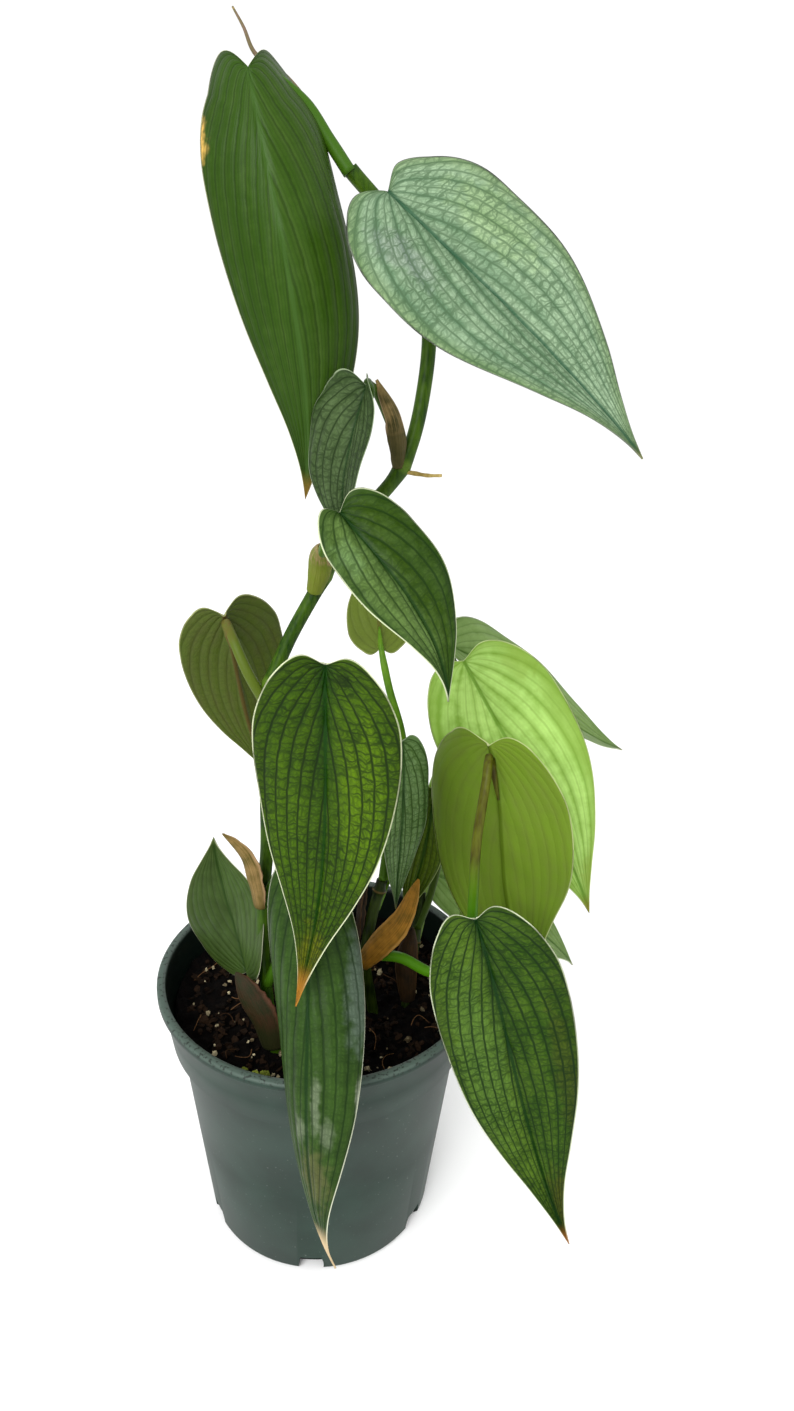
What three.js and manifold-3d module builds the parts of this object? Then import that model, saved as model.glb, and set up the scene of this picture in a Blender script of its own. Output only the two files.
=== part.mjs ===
// Potted silver leaf philodendron: a climbing aroid with heart-shaped leaves in a round nursery pot.
// Millimetres. +Z is up, +X is to the right and -Y is the front. The origin is the middle of the pot's
// underside.
import * as THREE from 'three';
import { mergeVertices } from 'three/addons/utils/BufferGeometryUtils.js';
import Module from 'manifold-3d';

const wasm = await Module();
wasm.setup();

// Pot
const POT_HEIGHT = 102;
const POT_TOP_RADIUS = 57;
const POT_LIP_WIDTH = 2.8;
const POT_LIP_HEIGHT = 2.6;
const POT_BAND_HEIGHT = 22;
const POT_BAND_TOP_RADIUS = 55.4;
const POT_BAND_BOTTOM_RADIUS = 52.9;
const POT_BODY_TOP_RADIUS = 50;
const POT_BASE_RADIUS = 41.8;
const POT_WALL = 2;
const POT_SIDES = 48;
const DRAIN_HOLES = 6;
const DRAIN_HOLE_RADIUS = 4.5;

// Soil
const SOIL_LEVEL = 90;
const SOIL_BUMP = 1.5;
const GRAIN_COUNT = 42;
const GRAIN_SIZE = 1.5;
const GRAIN_CLEARANCE = 6;

// Gap between pieces that touch, and what a round hole with flat sides takes to keep it
const GAP = 0.3;
const CLEARANCE = 0.45;

// Leaf blades. The lobes lift within the notch zone, the margin waves a few times along the length, and
// the stalk meets the blade just below the notch.
const BLADE_THICKNESS = 0.8;
const MIDRIB_DEPTH = 0.7;
const NOTCH_ZONE = 0.14;
const NOTCH_REACH = 0.17;
const WAVES_ALONG = 2.3;
const WAVE_SHIFT = 0.2;
const STALK_PLACE = 0.035;
const STALK_DEPTH = 0.3;
const COLUMNS = [-1, -0.74, -0.44, -0.17, 0, 0.17, 0.44, 0.74, 1];

// Half outline of a heart-shaped blade, from the notch round the lobe to the tip:
// share of the way round, share of the length, share of the half width
const OUTLINE = [
  [0, 0, 0],
  [0.057, -0.03, 0.3],
  [0.106, -0.012, 0.52],
  [0.152, 0.03, 0.7],
  [0.241, 0.135, 0.93],
  [0.343, 0.26, 1],
  [0.445, 0.385, 0.98],
  [0.583, 0.54, 0.845],
  [0.727, 0.7, 0.56],
  [0.848, 0.83, 0.27],
  [0.939, 0.93, 0.09],
  [1, 1, 0],
];

// Stems. At each leaf the stem swells a little.
const SWELL = 0.45;
const SWELL_SPREAD = 0.012;

// Points from the soil upwards, radius at both ends, and the shares of the length where leaves grow
const STEMS = {
  main_vine: {
    points: [
      [-12, -29, 68], [-13, -28, 90], [-16, -23, 110], [-17, -20, 142], [-16, -14, 160], [-17, -5, 188],
      [-17, 0, 205], [-11, 4, 222], [-1, 8, 241], [7, 13, 256], [23, 20, 275], [29, 27, 298],
      [29, 30, 320], [21, 29, 339], [6, 26, 355],
    ],
    radii: [1.9, 2.2],
    nodes: [0.245, 0.465, 0.585, 0.715, 0.925, 0.993],
    color: 0x5a7f3a,
  },
  left_shoot: {
    points: [[20, -9, 68], [19, -8, 90], [16, -8, 112], [18, -6, 129], [21, -4, 142]],
    radii: [2.3, 1.9],
    nodes: [0.6, 0.95],
    color: 0x5f7a3c,
  },
  middle_shoot: {
    points: [[29, -6, 70], [31, -3, 90], [33, 6, 106], [35, 16, 124]],
    radii: [2.2, 1.8],
    nodes: [0.7],
    color: 0x5f7a3c,
  },
  right_shoot: {
    points: [[43, 0, 72], [45, -1, 90], [47, -1, 110]],
    radii: [2.2, 1.8],
    nodes: [0.85],
    color: 0x5f7a3c,
  },
};

// Leaves. base is the notch, tip the drawn-out point, face the way the upper side looks (azimuth, elevation).
// fold, curl and share hold the left and the right half: the angle at the midrib, the turn from there
// to the margin in degrees, and the half's part of the width. petiole lists the leafstalk from blade to stem.
const LEAVES = [
  {
    name: 'leaf_top_left', base: [-20, 15, 377], tip: [-6, 16, 265], face: [13, 2],
    width: 44, bow: 14, sway: 2.6, fold: [-16, -2], curl: [36, 63], share: [0.93, 1.26],
    lobe: 2.7, twist: 14, lift: -12, wave: 0.5, color: 0x3f6a2e,
    petiole: [[-18, 20, 377], [-13, 24, 375], [-6, 26, 370], [0, 26, 362], [6, 25, 354]],
    radii: [1.3, 1.5], on: 'main_vine',
  },
  {
    name: 'leaf_top_right', base: [17, 8, 349], tip: [86, -22, 287], face: [14, 33],
    width: 51, bow: 1.5, sway: 1, fold: [17, 19], curl: [31, 18], share: [1.02, 0.99],
    lobe: 1.4, twist: -15, lift: -4, wave: 0.6, color: 0x93b09a,
    petiole: [[17, 14, 347], [20, 22, 341], [22, 29, 335]],
    radii: [1.4, 1.7], on: 'main_vine',
  },
  {
    name: 'leaf_upper_small', base: [13, -4, 301], tip: [8, -9, 257], face: [-53, 14],
    width: 30, bow: 2.5, sway: -1.4, fold: [27, 26], curl: [23, 14], share: [1.1, 1],
    lobe: 1.7, twist: 0, lift: 6, wave: 0.4, color: 0x5d7d66,
    petiole: [[13, 2, 301], [13, 9, 300], [15, 16, 297], [20, 19, 286], [23, 20, 277]],
    radii: [1.1, 1.5], on: 'main_vine',
  },
  {
    name: 'leaf_centre', base: [7, -24, 271], tip: [38, -38, 223], face: [25, 28],
    width: 28, bow: 6, sway: 2.7, fold: [10, 20], curl: [27, 22], share: [0.9, 1.1],
    lobe: 1.1, twist: -16, lift: 4.5, wave: 0.5, color: 0x3f6b45,
    petiole: [[5, -19, 266], [2, -10, 258], [0, 0, 251], [-1, 8, 242]],
    radii: [1.3, 1.7], on: 'main_vine',
  },
  {
    name: 'leaf_front_centre', base: [5, -46, 236], tip: [-2, -63, 138], face: [-6, 25],
    width: 42, bow: -10, sway: 2.7, fold: [19, 14], curl: [12, 26], share: [0.96, 1.04],
    lobe: 1.2, twist: 36, lift: 1.6, wave: 0.7, color: 0x6f8c2f,
    petiole: [[4, -38, 224], [-2, -28, 185], [-11, -23, 156], [-17, -20, 142]],
    radii: [1.5, 2], on: 'main_vine',
  },
  {
    name: 'leaf_left_underside', base: [-32, 14, 228], tip: [-20, 22, 167], face: [190, -13],
    width: 37, bow: 4, sway: 2, fold: [28, 14], curl: [4, 0], share: [1.06, 0.95],
    lobe: 1.3, twist: -4, lift: 3, wave: 0.5, color: 0x5f7448,
    petiole: [[-28, 6, 223], [-23, 1, 214], [-17, 0, 203]],
    radii: [1.4, 1.8], on: 'main_vine',
  },
  {
    name: 'leaf_narrow_silver', base: [26, -2, 193], tip: [26, 2, 126], face: [37, 25],
    width: 19.5, bow: 3, sway: -1.8, fold: [15, 15], curl: [10, 10], share: [1, 1],
    lobe: 0.8, twist: -3, lift: 0, wave: 0.4, color: 0x7d9a72,
    petiole: [[25, 4, 176], [23, 3, 160], [21, -4, 142]],
    radii: [1.1, 1.4], on: 'left_shoot',
  },
  {
    name: 'leaf_narrow_dark', base: [38, 16, 165], tip: [28, 10, 117], face: [11, 20],
    width: 14, bow: 7, sway: 0, fold: [15, 15], curl: [10, 10], share: [1, 1],
    lobe: 1, twist: 5, lift: -1, wave: 0.3, color: 0x3c5527,
    petiole: [[40, 20, 153], [41, 19, 138], [38, 14, 123], [34, 9, 113]],
    radii: [1.1, 1.4], on: 'middle_shoot',
  },
  {
    name: 'leaf_new_lime', base: [45, 14, 215], tip: [94, 5, 125], face: [6, 24],
    width: 46.5, bow: 2, sway: 2, fold: [14, 15], curl: [25, 24], share: [0.95, 1.03],
    lobe: 0.9, twist: -2, lift: 0, wave: 0.6, color: 0xa3cc5c,
    petiole: [[42, 20, 195], [40, 24, 173], [37, 27, 158], [37, 23, 140], [35, 16, 122]],
    radii: [1.3, 1.5], on: 'middle_shoot',
  },
  {
    name: 'leaf_right_underside', base: [52, -20, 202], tip: [77, -27, 112], face: [152, -4],
    width: 52, bow: 2.5, sway: 8, fold: [-10, 18], curl: [14, -20], share: [0.94, 1.2],
    lobe: 1.1, twist: -28, lift: 1, wave: 0.6, color: 0x7f9440,
    petiole: [
      [51, -27, 193], [49, -32, 175], [49, -34, 158], [49, -32, 141], [45, -27, 125], [38, -21, 118],
      [28, -14, 118], [17, -8, 114],
    ],
    radii: [1.3, 1.9], on: 'left_shoot',
  },
  {
    name: 'leaf_lower_right', base: [49, -45, 157], tip: [85, -64, 46], face: [-12, 22],
    width: 42, bow: -5, sway: -2.8, fold: [19, 14], curl: [14, 28], share: [0.94, 1.04],
    lobe: 1.2, twist: 7, lift: 0, wave: 0.7, color: 0x4b7434,
    petiole: [[53, -37, 143], [56, -23, 120], [47, -1, 101]],
    radii: [1.4, 1.8], on: 'right_shoot',
  },
  {
    name: 'leaf_over_rim', base: [-3, -34, 164], tip: [11, -78, 50], face: [18, 32],
    width: 32.5, bow: 10.5, sway: -7, fold: [-11, 7], curl: [60, 57], share: [1.04, 1.14],
    lobe: 1, twist: 70, lift: 0, wave: 0.5, color: 0x4c6f3d,
    petiole: [[-5, -30, 149], [-10, -27, 130], [-16, -23, 112]],
    radii: [1.3, 1.7], on: 'main_vine',
  },
  {
    name: 'leaf_small_left', base: [-24, -16, 111], tip: [-36, 0, 154], face: [-43, -1],
    width: 43, bow: -1, sway: 2.8, fold: [17, 4], curl: [-5, 14], share: [1.02, 1.01],
    lobe: 0.9, twist: 40, lift: 0, wave: 0.4, color: 0x4f6f4a,
    petiole: [[-21, -19, 104], [-14, -27, 96]],
    radii: [1.2, 1.5], on: 'main_vine',
  },
  {
    name: 'leaf_back_centre', base: [18, 25, 214], tip: [14, 48, 243], face: [180, -20],
    width: 22, bow: 2, sway: 0, fold: [14, 14], curl: [25, 25], share: [1, 1],
    lobe: 1.6, twist: 0, lift: 0, wave: 0.4, color: 0x77884a,
    petiole: [[21, 19, 203], [26, 15, 187], [28, 13, 165], [25, 6, 146], [19, -5, 131]],
    radii: [1.2, 1.6], on: 'left_shoot',
  },
  {
    name: 'leaf_back_right', base: [42, 29, 214], tip: [112, 61, 162], face: [16, 62],
    width: 38, bow: 2, sway: -5, fold: [24, 18], curl: [8, 20], share: [1, 1.05],
    lobe: 1.4, twist: -10, lift: 0, wave: 0.5, color: 0x4a6249,
    petiole: [[46, 35, 190], [51, 33, 158], [52, 16, 132], [47, -1, 106]],
    radii: [1.3, 1.6], on: 'right_shoot',
  },
  {
    name: 'leaf_over_back_rim', base: [39, 38, 118], tip: [103, 60, 59], face: [20, 55],
    width: 32, bow: 8, sway: 0, fold: [14, 14], curl: [25, 25], share: [1, 1],
    lobe: 1, twist: 0, lift: 0, wave: 0.5, color: 0x4f7146,
    petiole: [[37, 29, 117], [36, 20, 112], [33, 6, 106]],
    radii: [1.2, 1.5], on: 'middle_shoot',
  },
];

// Sheaths that once wrapped the young leaves: the middle line from the stem up, the width half way,
// the way the back of the sheath looks and the angle it wraps through. clear names the leaves whose
// stalks it gives way to.
const SHEATHS = [
  {
    name: 'sheath_dry_left', points: [[-19, -22, 142], [-20, -24, 152], [-22, -25, 162], [-28, -25, 171]],
    width: 10, wrap: 165, face: [-50, 10], on: 'main_vine', clear: [], color: 0xb08b62,
  },
  {
    name: 'sheath_basal_red', points: [[-15, -31, 91.5], [-18, -31, 103], [-22, -30, 112], [-25, -28, 121]],
    width: 15, wrap: 130, face: [-30, 5], on: 'main_vine', clear: [], color: 0x8a4a35,
  },
  {
    name: 'sheath_orange', points: [[14, -10, 111], [19, -14, 121], [27, -15, 133], [33, -13, 149]],
    width: 9, wrap: 110, face: [-30, 20], on: 'left_shoot', clear: [], color: 0xc07a35,
  },
  {
    name: 'sheath_brown_upright', points: [[31, -6, 92], [30, -4, 106], [32, -1, 121]],
    width: 10, wrap: 160, face: [-8, 5], on: 'middle_shoot', clear: [], color: 0x7b5230,
  },
  {
    name: 'sheath_brown_back', points: [[13, -5, 119], [13, -2, 131], [15, 2, 143]],
    width: 9, wrap: 140, face: [-100, 0], on: 'left_shoot', clear: ['leaf_right_underside'], color: 0x4e3626,
  },
  {
    name: 'sheath_upper_tan', points: [[24, 17, 274], [22, 15, 283], [19, 14, 292], [14, 13, 303]],
    width: 7, wrap: 150, face: [20, 15], on: 'main_vine', clear: ['leaf_upper_small'], color: 0x96643f,
  },
  {
    name: 'sheath_olive_centre', points: [[-6, 7, 238], [-5, 5, 247], [-2, 0, 260]],
    width: 12, wrap: 150, face: [-80, 5], on: 'main_vine', clear: ['leaf_centre'], color: 0x9a8a55,
  },
];

const vector = (values) => new THREE.Vector3(...values);

const radians = THREE.MathUtils.degToRad;

// Closed mesh geometry to solid
function toSolid(geometry) {
  const bare = geometry.clone();
  bare.deleteAttribute('normal');
  bare.deleteAttribute('uv');
  const merged = mergeVertices(bare, 1e-4);
  const index = merged.index.array;
  const kept = [];
  for (let i = 0; i < index.length; i += 3) {
    const [a, b, c] = [index[i], index[i + 1], index[i + 2]];
    if (a !== b && b !== c && c !== a) kept.push(a, b, c);
  }
  const mesh = new wasm.Mesh({
    numProp: 3,
    vertProperties: new Float32Array(merged.attributes.position.array),
    triVerts: new Uint32Array(kept),
  });
  return new wasm.Manifold(mesh);
}

// Largest body of a solid, without the scraps that a cut leaves
function largest(solid) {
  const bodies = solid.decompose();
  return bodies.reduce((best, body) => (body.volume() > best.volume() ? body : best));
}

// Solid back to geometry
function toGeometry(solid) {
  const mesh = solid.getMesh();
  const geometry = new THREE.BufferGeometry();
  geometry.setAttribute('position', new THREE.BufferAttribute(new Float32Array(mesh.vertProperties), 3));
  geometry.setIndex(new THREE.BufferAttribute(new Uint32Array(mesh.triVerts), 1));
  geometry.computeVertexNormals();
  return geometry;
}

// Round bar along a curve. radiusAt gives the radius at a share of the length.
function bar(points, radiusAt, sides, steps) {
  const path = new THREE.CatmullRomCurve3(points.map(vector));
  const thin = 0.05;
  const section = new THREE.Shape();
  for (let i = 0; i < sides; i += 1) {
    const turn = (2 * Math.PI * i) / sides;
    const place = [thin * Math.cos(turn), thin * Math.sin(turn)];
    if (i === 0) section.moveTo(...place);
    else section.lineTo(...place);
  }
  section.closePath();
  const geometry = new THREE.ExtrudeGeometry(section, { steps, extrudePath: path, bevelEnabled: false });
  const middles = path.getSpacedPoints(steps);
  const position = geometry.attributes.position;
  const point = new THREE.Vector3();
  for (let i = 0; i < position.count; i += 1) {
    point.fromBufferAttribute(position, i);
    let nearest = 0;
    middles.forEach((middle, k) => {
      if (middle.distanceToSquared(point) < middles[nearest].distanceToSquared(point)) nearest = k;
    });
    const middle = middles[nearest];
    point.sub(middle).multiplyScalar(radiusAt(nearest / steps) / thin).add(middle);
    position.setXYZ(i, point.x, point.y, point.z);
  }
  return toSolid(geometry);
}

// Closed sheet between two grids of points. Rows or columns may meet in one point.
function sheet(top, bottom) {
  const corners = [];
  const quad = (a, b, c, d) => corners.push(a, b, c, a, c, d);
  const rows = top.length;
  const columns = top[0].length;
  for (let i = 0; i + 1 < rows; i += 1) {
    for (let j = 0; j + 1 < columns; j += 1) {
      quad(top[i][j], top[i + 1][j], top[i + 1][j + 1], top[i][j + 1]);
      corners.push(bottom[i][j], bottom[i + 1][j + 1], bottom[i + 1][j]);
      corners.push(bottom[i][j], bottom[i][j + 1], bottom[i + 1][j + 1]);
    }
    const last = columns - 1;
    quad(top[i][0], bottom[i][0], bottom[i + 1][0], top[i + 1][0]);
    quad(top[i][last], top[i + 1][last], bottom[i + 1][last], bottom[i][last]);
  }
  for (let j = 0; j + 1 < columns; j += 1) {
    const last = rows - 1;
    quad(top[0][j], top[0][j + 1], bottom[0][j + 1], bottom[0][j]);
    quad(top[last][j], bottom[last][j], bottom[last][j + 1], top[last][j + 1]);
  }
  const geometry = new THREE.BufferGeometry().setFromPoints(corners);
  return toSolid(geometry);
}

// Direction from azimuth and elevation. Azimuth 0 looks to the front.
function direction([azimuth, elevation]) {
  const a = radians(azimuth);
  const e = radians(elevation);
  return new THREE.Vector3(Math.sin(a) * Math.cos(e), -Math.cos(a) * Math.cos(e), Math.sin(e));
}

// Axes of a blade: along the chord, to its right-hand side and out of its upper face
function bladeAxes(leaf) {
  const base = vector(leaf.base);
  const along = vector(leaf.tip).sub(base);
  const chord = along.clone().normalize();
  const side = direction(leaf.face).cross(chord).normalize();
  const out = chord.clone().cross(side);
  return { base, along, side, out };
}

// Point and upward normal of a blade's middle surface. f is the share of the length, y the distance
// from the midrib in mm and half is -1 on the left and 1 on the right.
function bladePoint(leaf, axes, f, y, half) {
  const pick = half < 0 ? 0 : 1;
  const reach = leaf.width / 2;
  const fold = radians(leaf.fold[pick]);
  const bend = (radians(leaf.curl[pick]) + 1e-6) / reach;
  const across = (Math.sin(fold) - Math.sin(fold - bend * y)) / bend;
  let rise = (Math.cos(fold - bend * y) - Math.cos(fold)) / bend;
  rise += leaf.lift * (Math.max(0, NOTCH_ZONE - f) / NOTCH_REACH) ** 2 * (y / reach);
  rise += leaf.wave * Math.sin(2 * Math.PI * (WAVES_ALONG * f + WAVE_SHIFT * half)) * (y / reach) ** 2;
  const middle = axes.base.clone().addScaledVector(axes.along, f)
    .addScaledVector(axes.out, leaf.bow * 4 * f * (1 - f))
    .addScaledVector(axes.side, leaf.sway * 6.75 * f * Math.abs(f) * (1 - f));
  const tangent = axes.along.clone()
    .addScaledVector(axes.out, leaf.bow * 4 * (1 - 2 * f))
    .addScaledVector(axes.side, leaf.sway * 6.75 * (2 * Math.abs(f) - 3 * f * Math.abs(f)))
    .normalize();
  const side = axes.side.clone().addScaledVector(tangent, -axes.side.dot(tangent)).normalize();
  const twist = radians(leaf.twist) * Math.min(Math.max(f, 0), 1);
  side.applyAxisAngle(tangent, twist);
  const out = tangent.clone().cross(side);
  const slope = y > 0 ? fold - bend * y : 0;
  const point = middle.addScaledVector(side, half * across).addScaledVector(out, rise);
  const normal = out.clone().multiplyScalar(Math.cos(slope))
    .addScaledVector(side, -half * Math.sin(slope));
  return { point, normal };
}

// Heart-shaped blade with a rib under its middle
function blade(leaf) {
  const axes = bladeAxes(leaf);
  const top = [];
  const bottom = [];
  OUTLINE.forEach(([u, length, width]) => {
    const marginF = length < 0 ? length * leaf.lobe : length;
    const upper = [];
    const lower = [];
    COLUMNS.forEach((v) => {
      const away = Math.abs(v);
      const half = v < 0 ? -1 : 1;
      const f = (1 - away) * u + away * marginF;
      const y = away * width * leaf.share[v < 0 ? 0 : 1] * leaf.width / 2;
      const { point, normal } = bladePoint(leaf, axes, f, y, half);
      const rib = v === 0 ? MIDRIB_DEPTH * (1 - u) : 0;
      upper.push(point.clone().addScaledVector(normal, BLADE_THICKNESS / 2));
      lower.push(point.clone().addScaledVector(normal, -BLADE_THICKNESS / 2 - rib));
    });
    top.push(upper);
    bottom.push(lower);
  });
  return sheet(top, bottom);
}

// Leafstalk, from the blade's underside by the notch to inside the stem
function leafstalk(leaf, extra, sides) {
  const root = bladePoint(leaf, bladeAxes(leaf), STALK_PLACE, 0, 1);
  const start = root.point.addScaledVector(root.normal, -STALK_DEPTH).toArray();
  const [thin, thick] = leaf.radii;
  const radiusAt = (t) => thin + (thick - thin) * t + extra;
  const steps = Math.max(5, 2 * leaf.petiole.length);
  return bar([start, ...leaf.petiole], radiusAt, sides, steps);
}

// Leaf: blade and leafstalk in one piece
function leafSolid(leaf, stems) {
  return largest(blade(leaf).add(leafstalk(leaf, 0, 6)).subtract(stems[leaf.on].grown));
}

// Stem radius with a swelling where each leaf grows
function stemRadius(stem, extra) {
  const [low, high] = stem.radii;
  return (t) => {
    let radius = low + (high - low) * Math.min(1, 3 * t) + extra;
    stem.nodes.forEach((place) => {
      radius += SWELL * Math.exp(-(((t - place) / SWELL_SPREAD) ** 2));
    });
    return radius;
  };
}

function stemSolids() {
  const solids = {};
  Object.entries(STEMS).forEach(([name, stem]) => {
    const steps = stem.points.length > 6 ? 48 : 10;
    const longer = stem.points.map(vector);
    const last = longer.length - 1;
    const start = longer[0].clone().sub(longer[1]).setLength(GAP);
    const end = longer[last].clone().sub(longer[last - 1]).setLength(GAP);
    longer[0].add(start);
    longer[last].add(end);
    solids[name] = {
      solid: bar(stem.points, stemRadius(stem, 0), 8, steps),
      grown: bar(longer.map((point) => point.toArray()), stemRadius(stem, CLEARANCE), 12, steps),
    };
  });
  return solids;
}

// Width of a sheath at a share of its length: widest a third of the way up and pointed at the top
function sheathWidth(sheath, t) {
  return sheath.width * (0.72 + 0.9 * t) * (1 - t ** 2.2) ** 0.75;
}

// Sheath: a thin blade rolled round its middle line, a little thinner at the pointed top
function sheathSolid(sheath, stems) {
  const path = new THREE.CatmullRomCurve3(sheath.points.map(vector));
  const face = direction(sheath.face);
  const wrap = radians(sheath.wrap);
  const rows = 7;
  const columns = 6;
  const top = [];
  const bottom = [];
  for (let i = 0; i <= rows; i += 1) {
    const t = i / rows;
    const middle = path.getPoint(t);
    const tangent = path.getTangent(t);
    const side = face.clone().cross(tangent).normalize();
    const out = tangent.clone().cross(side);
    const halfWall = (BLADE_THICKNESS / 2) * (1 - 0.25 * t ** 4);
    const radius = Math.max(sheathWidth(sheath, t) / wrap, halfWall + 0.08);
    const upper = [];
    const lower = [];
    for (let j = 0; j <= columns; j += 1) {
      const turn = wrap * (j / columns - 0.5);
      const away = out.clone().multiplyScalar(Math.cos(turn)).addScaledVector(side, Math.sin(turn));
      const place = middle.clone().addScaledVector(away, radius).addScaledVector(out, -radius);
      upper.push(place.clone().addScaledVector(away, halfWall));
      lower.push(place.clone().addScaledVector(away, -halfWall));
    }
    top.push(upper);
    bottom.push(lower);
  }
  let solid = sheet(top, bottom).subtract(stems[sheath.on].grown);
  LEAVES.filter((leaf) => sheath.clear.includes(leaf.name)).forEach((leaf) => {
    solid = solid.subtract(leafstalk(leaf, CLEARANCE, 12));
  });
  return largest(solid);
}

// Pot: hollow, with a flat lip, a band below it and drain holes through the corner of the base
function potSolid() {
  const bandFoot = POT_HEIGHT - POT_BAND_HEIGHT;
  const lipFoot = POT_HEIGHT - POT_LIP_HEIGHT;
  const profile = [
    [0, 0],
    [POT_BASE_RADIUS - 1.4, 0],
    [POT_BASE_RADIUS, 1.6],
    [POT_BODY_TOP_RADIUS, bandFoot],
    [POT_BAND_BOTTOM_RADIUS, bandFoot + 0.8],
    [POT_BAND_TOP_RADIUS, lipFoot - 0.4],
    [POT_TOP_RADIUS, lipFoot],
    [POT_TOP_RADIUS, POT_HEIGHT - 0.6],
    [POT_TOP_RADIUS - 0.6, POT_HEIGHT],
    [POT_TOP_RADIUS - POT_LIP_WIDTH, POT_HEIGHT],
    [POT_BAND_TOP_RADIUS - POT_WALL, lipFoot - 0.4],
    [POT_BAND_BOTTOM_RADIUS - POT_WALL, bandFoot + 2],
    [POT_BODY_TOP_RADIUS - POT_WALL, bandFoot - 1.4],
    [POT_BASE_RADIUS - POT_WALL, POT_WALL],
    [0, POT_WALL],
  ];
  const shell = new THREE.LatheGeometry(profile.map(([r, z]) => new THREE.Vector2(r, z)), POT_SIDES);
  shell.rotateX(Math.PI / 2);
  let pot = toSolid(shell);
  for (let i = 0; i < DRAIN_HOLES; i += 1) {
    const turn = (2 * Math.PI * (i + 0.5)) / DRAIN_HOLES;
    const hole = new THREE.CylinderGeometry(DRAIN_HOLE_RADIUS, DRAIN_HOLE_RADIUS, 12, 10);
    hole.rotateX(Math.PI / 2);
    hole.rotateY(radians(45));
    hole.translate(POT_BASE_RADIUS - 2, 0, 1);
    hole.rotateZ(turn);
    pot = pot.subtract(toSolid(hole));
  }
  return pot;
}

// Height of the soil's surface above its level
function soilBump(x, y) {
  const ridge = Math.sin(0.31 * x + 0.6) * Math.cos(0.27 * y - 0.4);
  const lump = Math.sin(0.62 * x - 0.35 * y + 1.3) * Math.sin(0.5 * y + 0.2 * x);
  return SOIL_BUMP * (0.6 * ridge + 0.5 * lump);
}

// Repeatable random numbers from 0 to 1
function randomSource(seed) {
  let state = seed;
  return () => {
    state = (state * 16807) % 2147483647;
    return state / 2147483647;
  };
}

// Soil: fills the pot, with a bumpy top, pale grains half sunk in it and a plain hole for each stem
function soilSolid(stems) {
  const bandFoot = POT_HEIGHT - POT_BAND_HEIGHT;
  const inset = POT_WALL + GAP + 0.1;
  const rim = POT_BAND_BOTTOM_RADIUS - inset;
  const profile = [
    [0, POT_WALL + GAP],
    [POT_BASE_RADIUS - inset, POT_WALL + GAP],
    [POT_BODY_TOP_RADIUS - inset, bandFoot - 1.4],
    [rim, bandFoot + 2.2],
    [rim + 0.9, SOIL_LEVEL - 0.5],
  ];
  const rings = 7;
  for (let i = rings; i >= 1; i -= 1) profile.push([((rim - 1) * i) / rings, SOIL_LEVEL]);
  profile.push([0, SOIL_LEVEL]);
  const body = new THREE.LatheGeometry(profile.map(([r, z]) => new THREE.Vector2(r, z)), 36);
  body.rotateX(Math.PI / 2);
  const position = body.attributes.position;
  for (let i = 0; i < position.count; i += 1) {
    const [x, y, z] = [position.getX(i), position.getY(i), position.getZ(i)];
    if (z > SOIL_LEVEL - 0.1) position.setZ(i, z + soilBump(x, y));
  }
  let soil = toSolid(body);
  const random = randomSource(7);
  const holes = Object.values(STEMS).map((stem) => vector(stem.points[1]));
  for (let i = 0; i < GRAIN_COUNT; i += 1) {
    const turn = 2 * Math.PI * random();
    const reach = (rim - 5) * Math.sqrt(random());
    const size = GRAIN_SIZE * (0.7 + 0.6 * random());
    const grain = new THREE.OctahedronGeometry(size);
    grain.rotateX(random());
    grain.rotateZ(3 * random());
    const spot = new THREE.Vector3(reach * Math.cos(turn), reach * Math.sin(turn), SOIL_LEVEL);
    if (holes.some((hole) => hole.distanceTo(spot) < GRAIN_CLEARANCE)) continue;
    grain.translate(spot.x, spot.y, SOIL_LEVEL + soilBump(spot.x, spot.y) + 0.2 * size);
    soil = soil.add(toSolid(grain));
  }
  Object.values(stems).forEach(({ grown }) => {
    soil = soil.subtract(grown);
  });
  return largest(soil);
}

// Furled new growth at the top of the vine, drawn out to a thin tip
function growingTip(stems) {
  const points = [
    [7, 28, 354], [2, 31, 361], [-6, 34, 371], [-13, 35, 378], [-21, 35, 383], [-24, 36, 389], [-27, 37, 394],
  ];
  const radiusAt = (t) => 1.1 - 0.5 * t - 0.3 * t ** 4;
  return largest(bar(points, radiusAt, 6, 10).subtract(stems.main_vine.grown));
}

// Aerial root below the upper leaf
function aerialRoot(stems) {
  const points = [[21, 20, 273], [27, 18, 271], [31, 14, 273], [35, 11, 276]];
  return largest(bar(points, (t) => 0.85 - 0.4 * t, 6, 5).subtract(stems.main_vine.grown));
}

const plant = new THREE.Group();

function place(name, solid, color, roughness) {
  const material = new THREE.MeshStandardMaterial({ color, roughness, metalness: 0 });
  const mesh = new THREE.Mesh(toGeometry(solid), material);
  mesh.name = name;
  plant.add(mesh);
}

const stems = stemSolids();
place('pot', potSolid(), 0x4d5f5a, 0.6);
place('soil', soilSolid(stems), 0x241c18, 0.95);
Object.entries(STEMS).forEach(([name, stem]) => place(name, stems[name].solid, stem.color, 0.45));
LEAVES.forEach((leaf) => place(leaf.name, leafSolid(leaf, stems), leaf.color, 0.45));
SHEATHS.forEach((sheath) => place(sheath.name, sheathSolid(sheath, stems), sheath.color, 0.7));
place('growing_tip', growingTip(stems), 0x8a9a5a, 0.5);
place('aerial_root', aerialRoot(stems), 0xa8843c, 0.7);

export default plant;
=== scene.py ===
"""Potted silver leaf philodendron: a climbing aroid with heart-shaped leaves in a round nursery pot."""

import math

import bpy
import numpy as np
from mathutils import Matrix, Vector


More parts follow.
